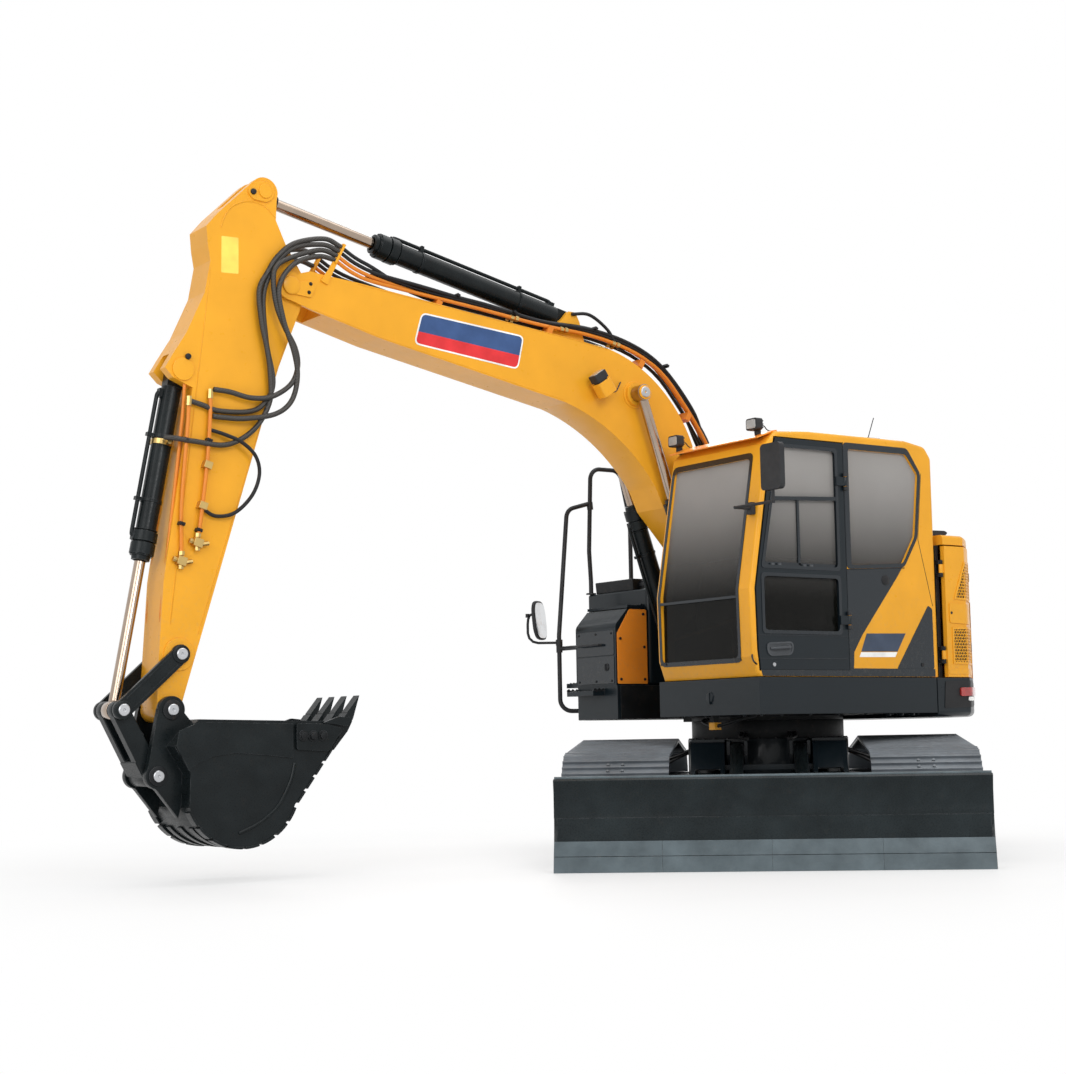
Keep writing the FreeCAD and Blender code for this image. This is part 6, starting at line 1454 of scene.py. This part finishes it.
kit = Kit("bucket_cylinder_fitting", "bucket_barrel", "brass", ram_frame("bucket_cylinder"), 0.001)
kit.lathe([(0.437, 0.061), (0.438, 0.0665), (0.47, 0.0665), (0.471, 0.061)], (0, 0, 0), (1, 0, 0), 36, True)
kit.lathe([(0.06, 0.016), (0.105, 0.016)], (0.455, 0, -0.01), (0, 1, 0), 6)
kit.done()

pin_heads("boom_eye_heads", "boom", BOOM, [(1.912, 0.278, 0.88, 0.04)])
kit = Kit("boom_eye_caps", "boom", "yellow", BOOM, 0.003)
kit.bosses([(0, 0.052), (0.01, 0.05)], 1.912, 0.2785, 0.88, 32)
kit.done()

# ---------------------------------------------------------------- cab inside

CAB_MID = 0.702           # the seat's middle
CLOTH_STEPS, CLOTH_PRESSURE = 20, 4
SWELL_MOST = 0.024        # how far a cushion's surface may move


def applied(piece):
    """The piece's mesh with its modifiers worked in."""
    bpy.context.view_layer.update()
    graph = bpy.context.evaluated_depsgraph_get()
    data = bpy.data.meshes.new_from_object(piece.evaluated_get(graph))
    piece.modifiers.clear()
    piece.data = data
    return data


def cushion(name, node, outline, half, cell):
    """A crowned cushion: a block a little under size, remeshed, then swelled by cloth pressure."""
    kit = Kit(name, "upper", "cloth", rounding=0)
    kit.prism(soft_corners(outline, 0.02, 3), CAB_MID - half, CAB_MID + half)
    piece = kit.done()
    cells = piece.modifiers.new("cells", "REMESH")
    cells.mode = "VOXEL"
    cells.voxel_size = cell * 1
    data = applied(piece)
    start = [vert.co.copy() for vert in data.vertices]
    swell = piece.modifiers.new("swell", "CLOTH")
    swell.settings.use_pressure = True
    swell.settings.uniform_pressure_force = CLOTH_PRESSURE
    swell.settings.effector_weights.gravity = 0
    swell.point_cache.frame_start = 1
    swell.point_cache.frame_end = CLOTH_STEPS
    for step in range(1, CLOTH_STEPS + 1):
        scene.frame_set(step)
    data = applied(piece)
    for vert, was in zip(data.vertices, start):
        move = vert.co - was
        if move.length > SWELL_MOST:
            vert.co = was + move.normalized() * SWELL_MOST
    smooth = piece.modifiers.new("smooth", "SUBSURF")
    smooth.levels = smooth.render_levels = 1
    data.shade_smooth()
    data.materials.clear()
    data.materials.append(mats["cloth"])
    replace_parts(piece, node)


cushion("seat_pad", "seat_cushion", rect(-0.195, 0.265, 1.622, 1.672), 0.225, 0.006)
cushion("back_pad", "seat_backrest", [(-0.318, 1.625), (-0.282, 1.625), (-0.27, 1.7), (-0.362, 2.305),
                                      (-0.418, 2.305)], 0.215, 0.007)

kit = Kit("seat_frame", "upper", "plastic", rounding=0.006)
kit.prism(soft_corners([(-0.21, 1.561), (0.25, 1.561), (0.28, 1.604), (-0.23, 1.604)], 0.012), CAB_MID - 0.2,
          CAB_MID + 0.2)
kit.prism(soft_corners([(-0.365, 1.6), (-0.335, 1.6), (-0.44, 2.29), (-0.458, 2.29)], 0.012), CAB_MID - 0.18,
          CAB_MID + 0.18)
for y in (CAB_MID - 0.255, CAB_MID + 0.225):
    kit.box((-0.16, 0.1), (y, y + 0.03), (1.815, 1.85))
kit.done()

kit = Kit("cab_controls", "upper", "plastic", rounding=0.003)
for side in (1, -1):
    y = CAB_MID + side * 0.33
    kit.lathe([(0, 0.034), (0.02, 0.036), (0.06, 0.024), (0.075, 0.018)], (0.34, y, 1.8), (0, 0, 1), 24)
    kit.lathe([(0, 0.016), (0.1, 0.022), (0.17, 0.028), (0.2, 0.024), (0.215, 0.01)], (0.34, y, 1.865),
              (0.12, 0, 1), 20)
    pedal = CAB_MID + side * 0.11
    kit.bar(bent([(0.735, pedal, 1.3), (0.745, pedal, 1.58), (0.7, pedal, 1.88),
                  (0.69, pedal + side * 0.02, 2.02)]), 0.011, 10)
    kit.lathe([(0, 0.015), (0.1, 0.018), (0.115, 0.01)], (0.698, pedal + side * 0.005, 1.92),
              (-0.1, side * 0.2, 1), 16)
    kit.prism(soft_corners([(0.62, 1.262), (0.8, 1.262), (0.8, 1.3), (0.64, 1.278)], 0.006), pedal - 0.05,
              pedal + 0.05)
kit.prism(soft_corners([(0.86, 1.98), (0.89, 1.98), (0.845, 2.17), (0.815, 2.17)], 0.01), 0.27, 0.46)
kit.bar([(0.88, 0.365, 2.0), (0.93, 0.365, 1.55)], 0.014, 10)
kit.box((-0.42, -0.3), (0.4, 1.0), (1.262, 1.9))
kit.prism(soft_corners(rect(-0.42, 0.15, 1.9, 1.52), 0.03), 0.25, 0.3)
kit.done()
kit = Kit("cab_screen", "upper", "glass_dark", rounding=0)
kit.prism([(0.8565, 1.995), (0.8555, 1.995), (0.8155, 2.155), (0.8165, 2.155)], 0.285, 0.445)
kit.done()

# dark lining over the painted walls: rear wall, right wall, headliner round the hatch, and mat
kit = Kit("cab_lining", "upper", "lining", rounding=0)
kit.prism(rect(0.26, 1.145, 1.27, 2.24), -0.4945, -0.4905, "X")
kit.prism([(-0.47, 1.27), (1.04, 1.27), (1.04, 1.48), (-0.4, 1.88), (-0.47, 1.88)], 0.2455, 0.249)
kit.plate([rect(-0.46, 0.87, 0.26, 1.145), rect(0.1, 0.62, 0.42, 0.98)], 2.7705, 2.774, "Z")
kit.plate([rect(-0.46, 1.05, 0.26, 1.145), rect(-0.27, 0.28, 0.48, 0.92)], 1.257, 1.261, "Z")
kit.done()

# ---------------------------------------------------------------- floor and light

FLOOR_REACH = 90
FADE_START, FADE_END, FADE_LEAST = 1.5, 6.5, 0.45        # the fade to white, by the distance from the middle
LIGHT_LEVEL, SEEN_LEVEL = 0.55, 1.0                      # of the surroundings, as light and as background

floor_mesh = bpy.data.meshes.new("floor")
floor_mesh.from_pydata([(x, y, 0) for x, y in rect(-FLOOR_REACH, FLOOR_REACH, -FLOOR_REACH, FLOOR_REACH)], [],
                       [(0, 1, 2, 3)])
floor = bpy.data.objects.new("floor", floor_mesh)
scene.collection.objects.link(floor)
pale = Shader("floor_pale")
pale.set(Base_Color=pale.mixed(pale.spread(pale.noise(0.6, 4), 0.3, 0.7), (0.8, 0.8, 0.8),
                               (0.84, 0.84, 0.84)), Roughness=0.55)


def seen_rays(tree):
    """1 for a ray from the camera, through glass or off a glossy face, and 0 for the light on the object."""
    path = tree.nodes.new("ShaderNodeLightPath")
    total = path.outputs["Is Camera Ray"]
    for other in ("Is Transmission Ray", "Is Glossy Ray"):
        most = tree.nodes.new("ShaderNodeMath")
        most.operation = "MAXIMUM"
        tree.links.new(total, most.inputs[0])
        tree.links.new(path.outputs[other], most.inputs[1])
        total = most.outputs[0]
    return total


# the floor fades to the white of the surroundings away from the object
away = pale.node("ShaderNodeVectorMath", 1, {"operation": "LENGTH"}, i0=pale.place)
fade = pale.node("ShaderNodeMapRange", settings={"interpolation_type": "SMOOTHSTEP"}, i0=away, i1=FADE_START,
                 i2=FADE_END, i3=FADE_LEAST, i4=1.0)
white = pale.tree.nodes.new("ShaderNodeEmission")
blend = pale.tree.nodes.new("ShaderNodeMixShader")
pale.tree.links.new(pale.maths("MULTIPLY", fade, seen_rays(pale.tree)), blend.inputs[0])
pale.tree.links.new(pale.surface.outputs[0], blend.inputs[1])
pale.tree.links.new(white.outputs[0], blend.inputs[2])
pale.tree.links.new(blend.outputs[0], pale.tree.nodes["Material Output"].inputs[0])
floor_mesh.materials.append(pale.material)
floor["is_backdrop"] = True

world = bpy.data.worlds.new("studio")
scene.world = world
world.use_nodes = True
tree = world.node_tree
sky = tree.nodes["Background"]
sky.inputs["Color"].default_value = (1, 1, 1, 1)
level = tree.nodes.new("ShaderNodeMapRange")
level.inputs["To Min"].default_value = LIGHT_LEVEL
level.inputs["To Max"].default_value = SEEN_LEVEL
tree.links.new(seen_rays(tree), level.inputs["Value"])
tree.links.new(level.outputs[0], sky.inputs["Strength"])


def lamp(name, place, target, size, power):
    """A soft rectangular studio lamp that faces a point."""
    data = bpy.data.lights.new(name, "AREA")
    data.shape = "RECTANGLE"
    data.size, data.size_y = size
    data.energy = power
    made = bpy.data.objects.new(name, data)
    scene.collection.objects.link(made)
    made.location = place
    made.rotation_euler = (Vector(target) - Vector(place)).to_track_quat("-Z", "Y").to_euler()


# name, place, target, size, watts
for row in [("key", (3.5, 15.5, 10), (-0.3, 0, 1.6), (8, 6), 1000),
            ("fill", (13, 6, 6), (0, 0, 1.6), (7, 7), 450),
            ("top", (-1, 1, 12), (-1, 0, 1), (10, 10), 500),
            ("back", (-9, -11, 8), (0, 0, 1.5), (8, 6), 500)]:
    lamp(*row)

scene.view_settings.view_transform = "Standard"

low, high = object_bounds()
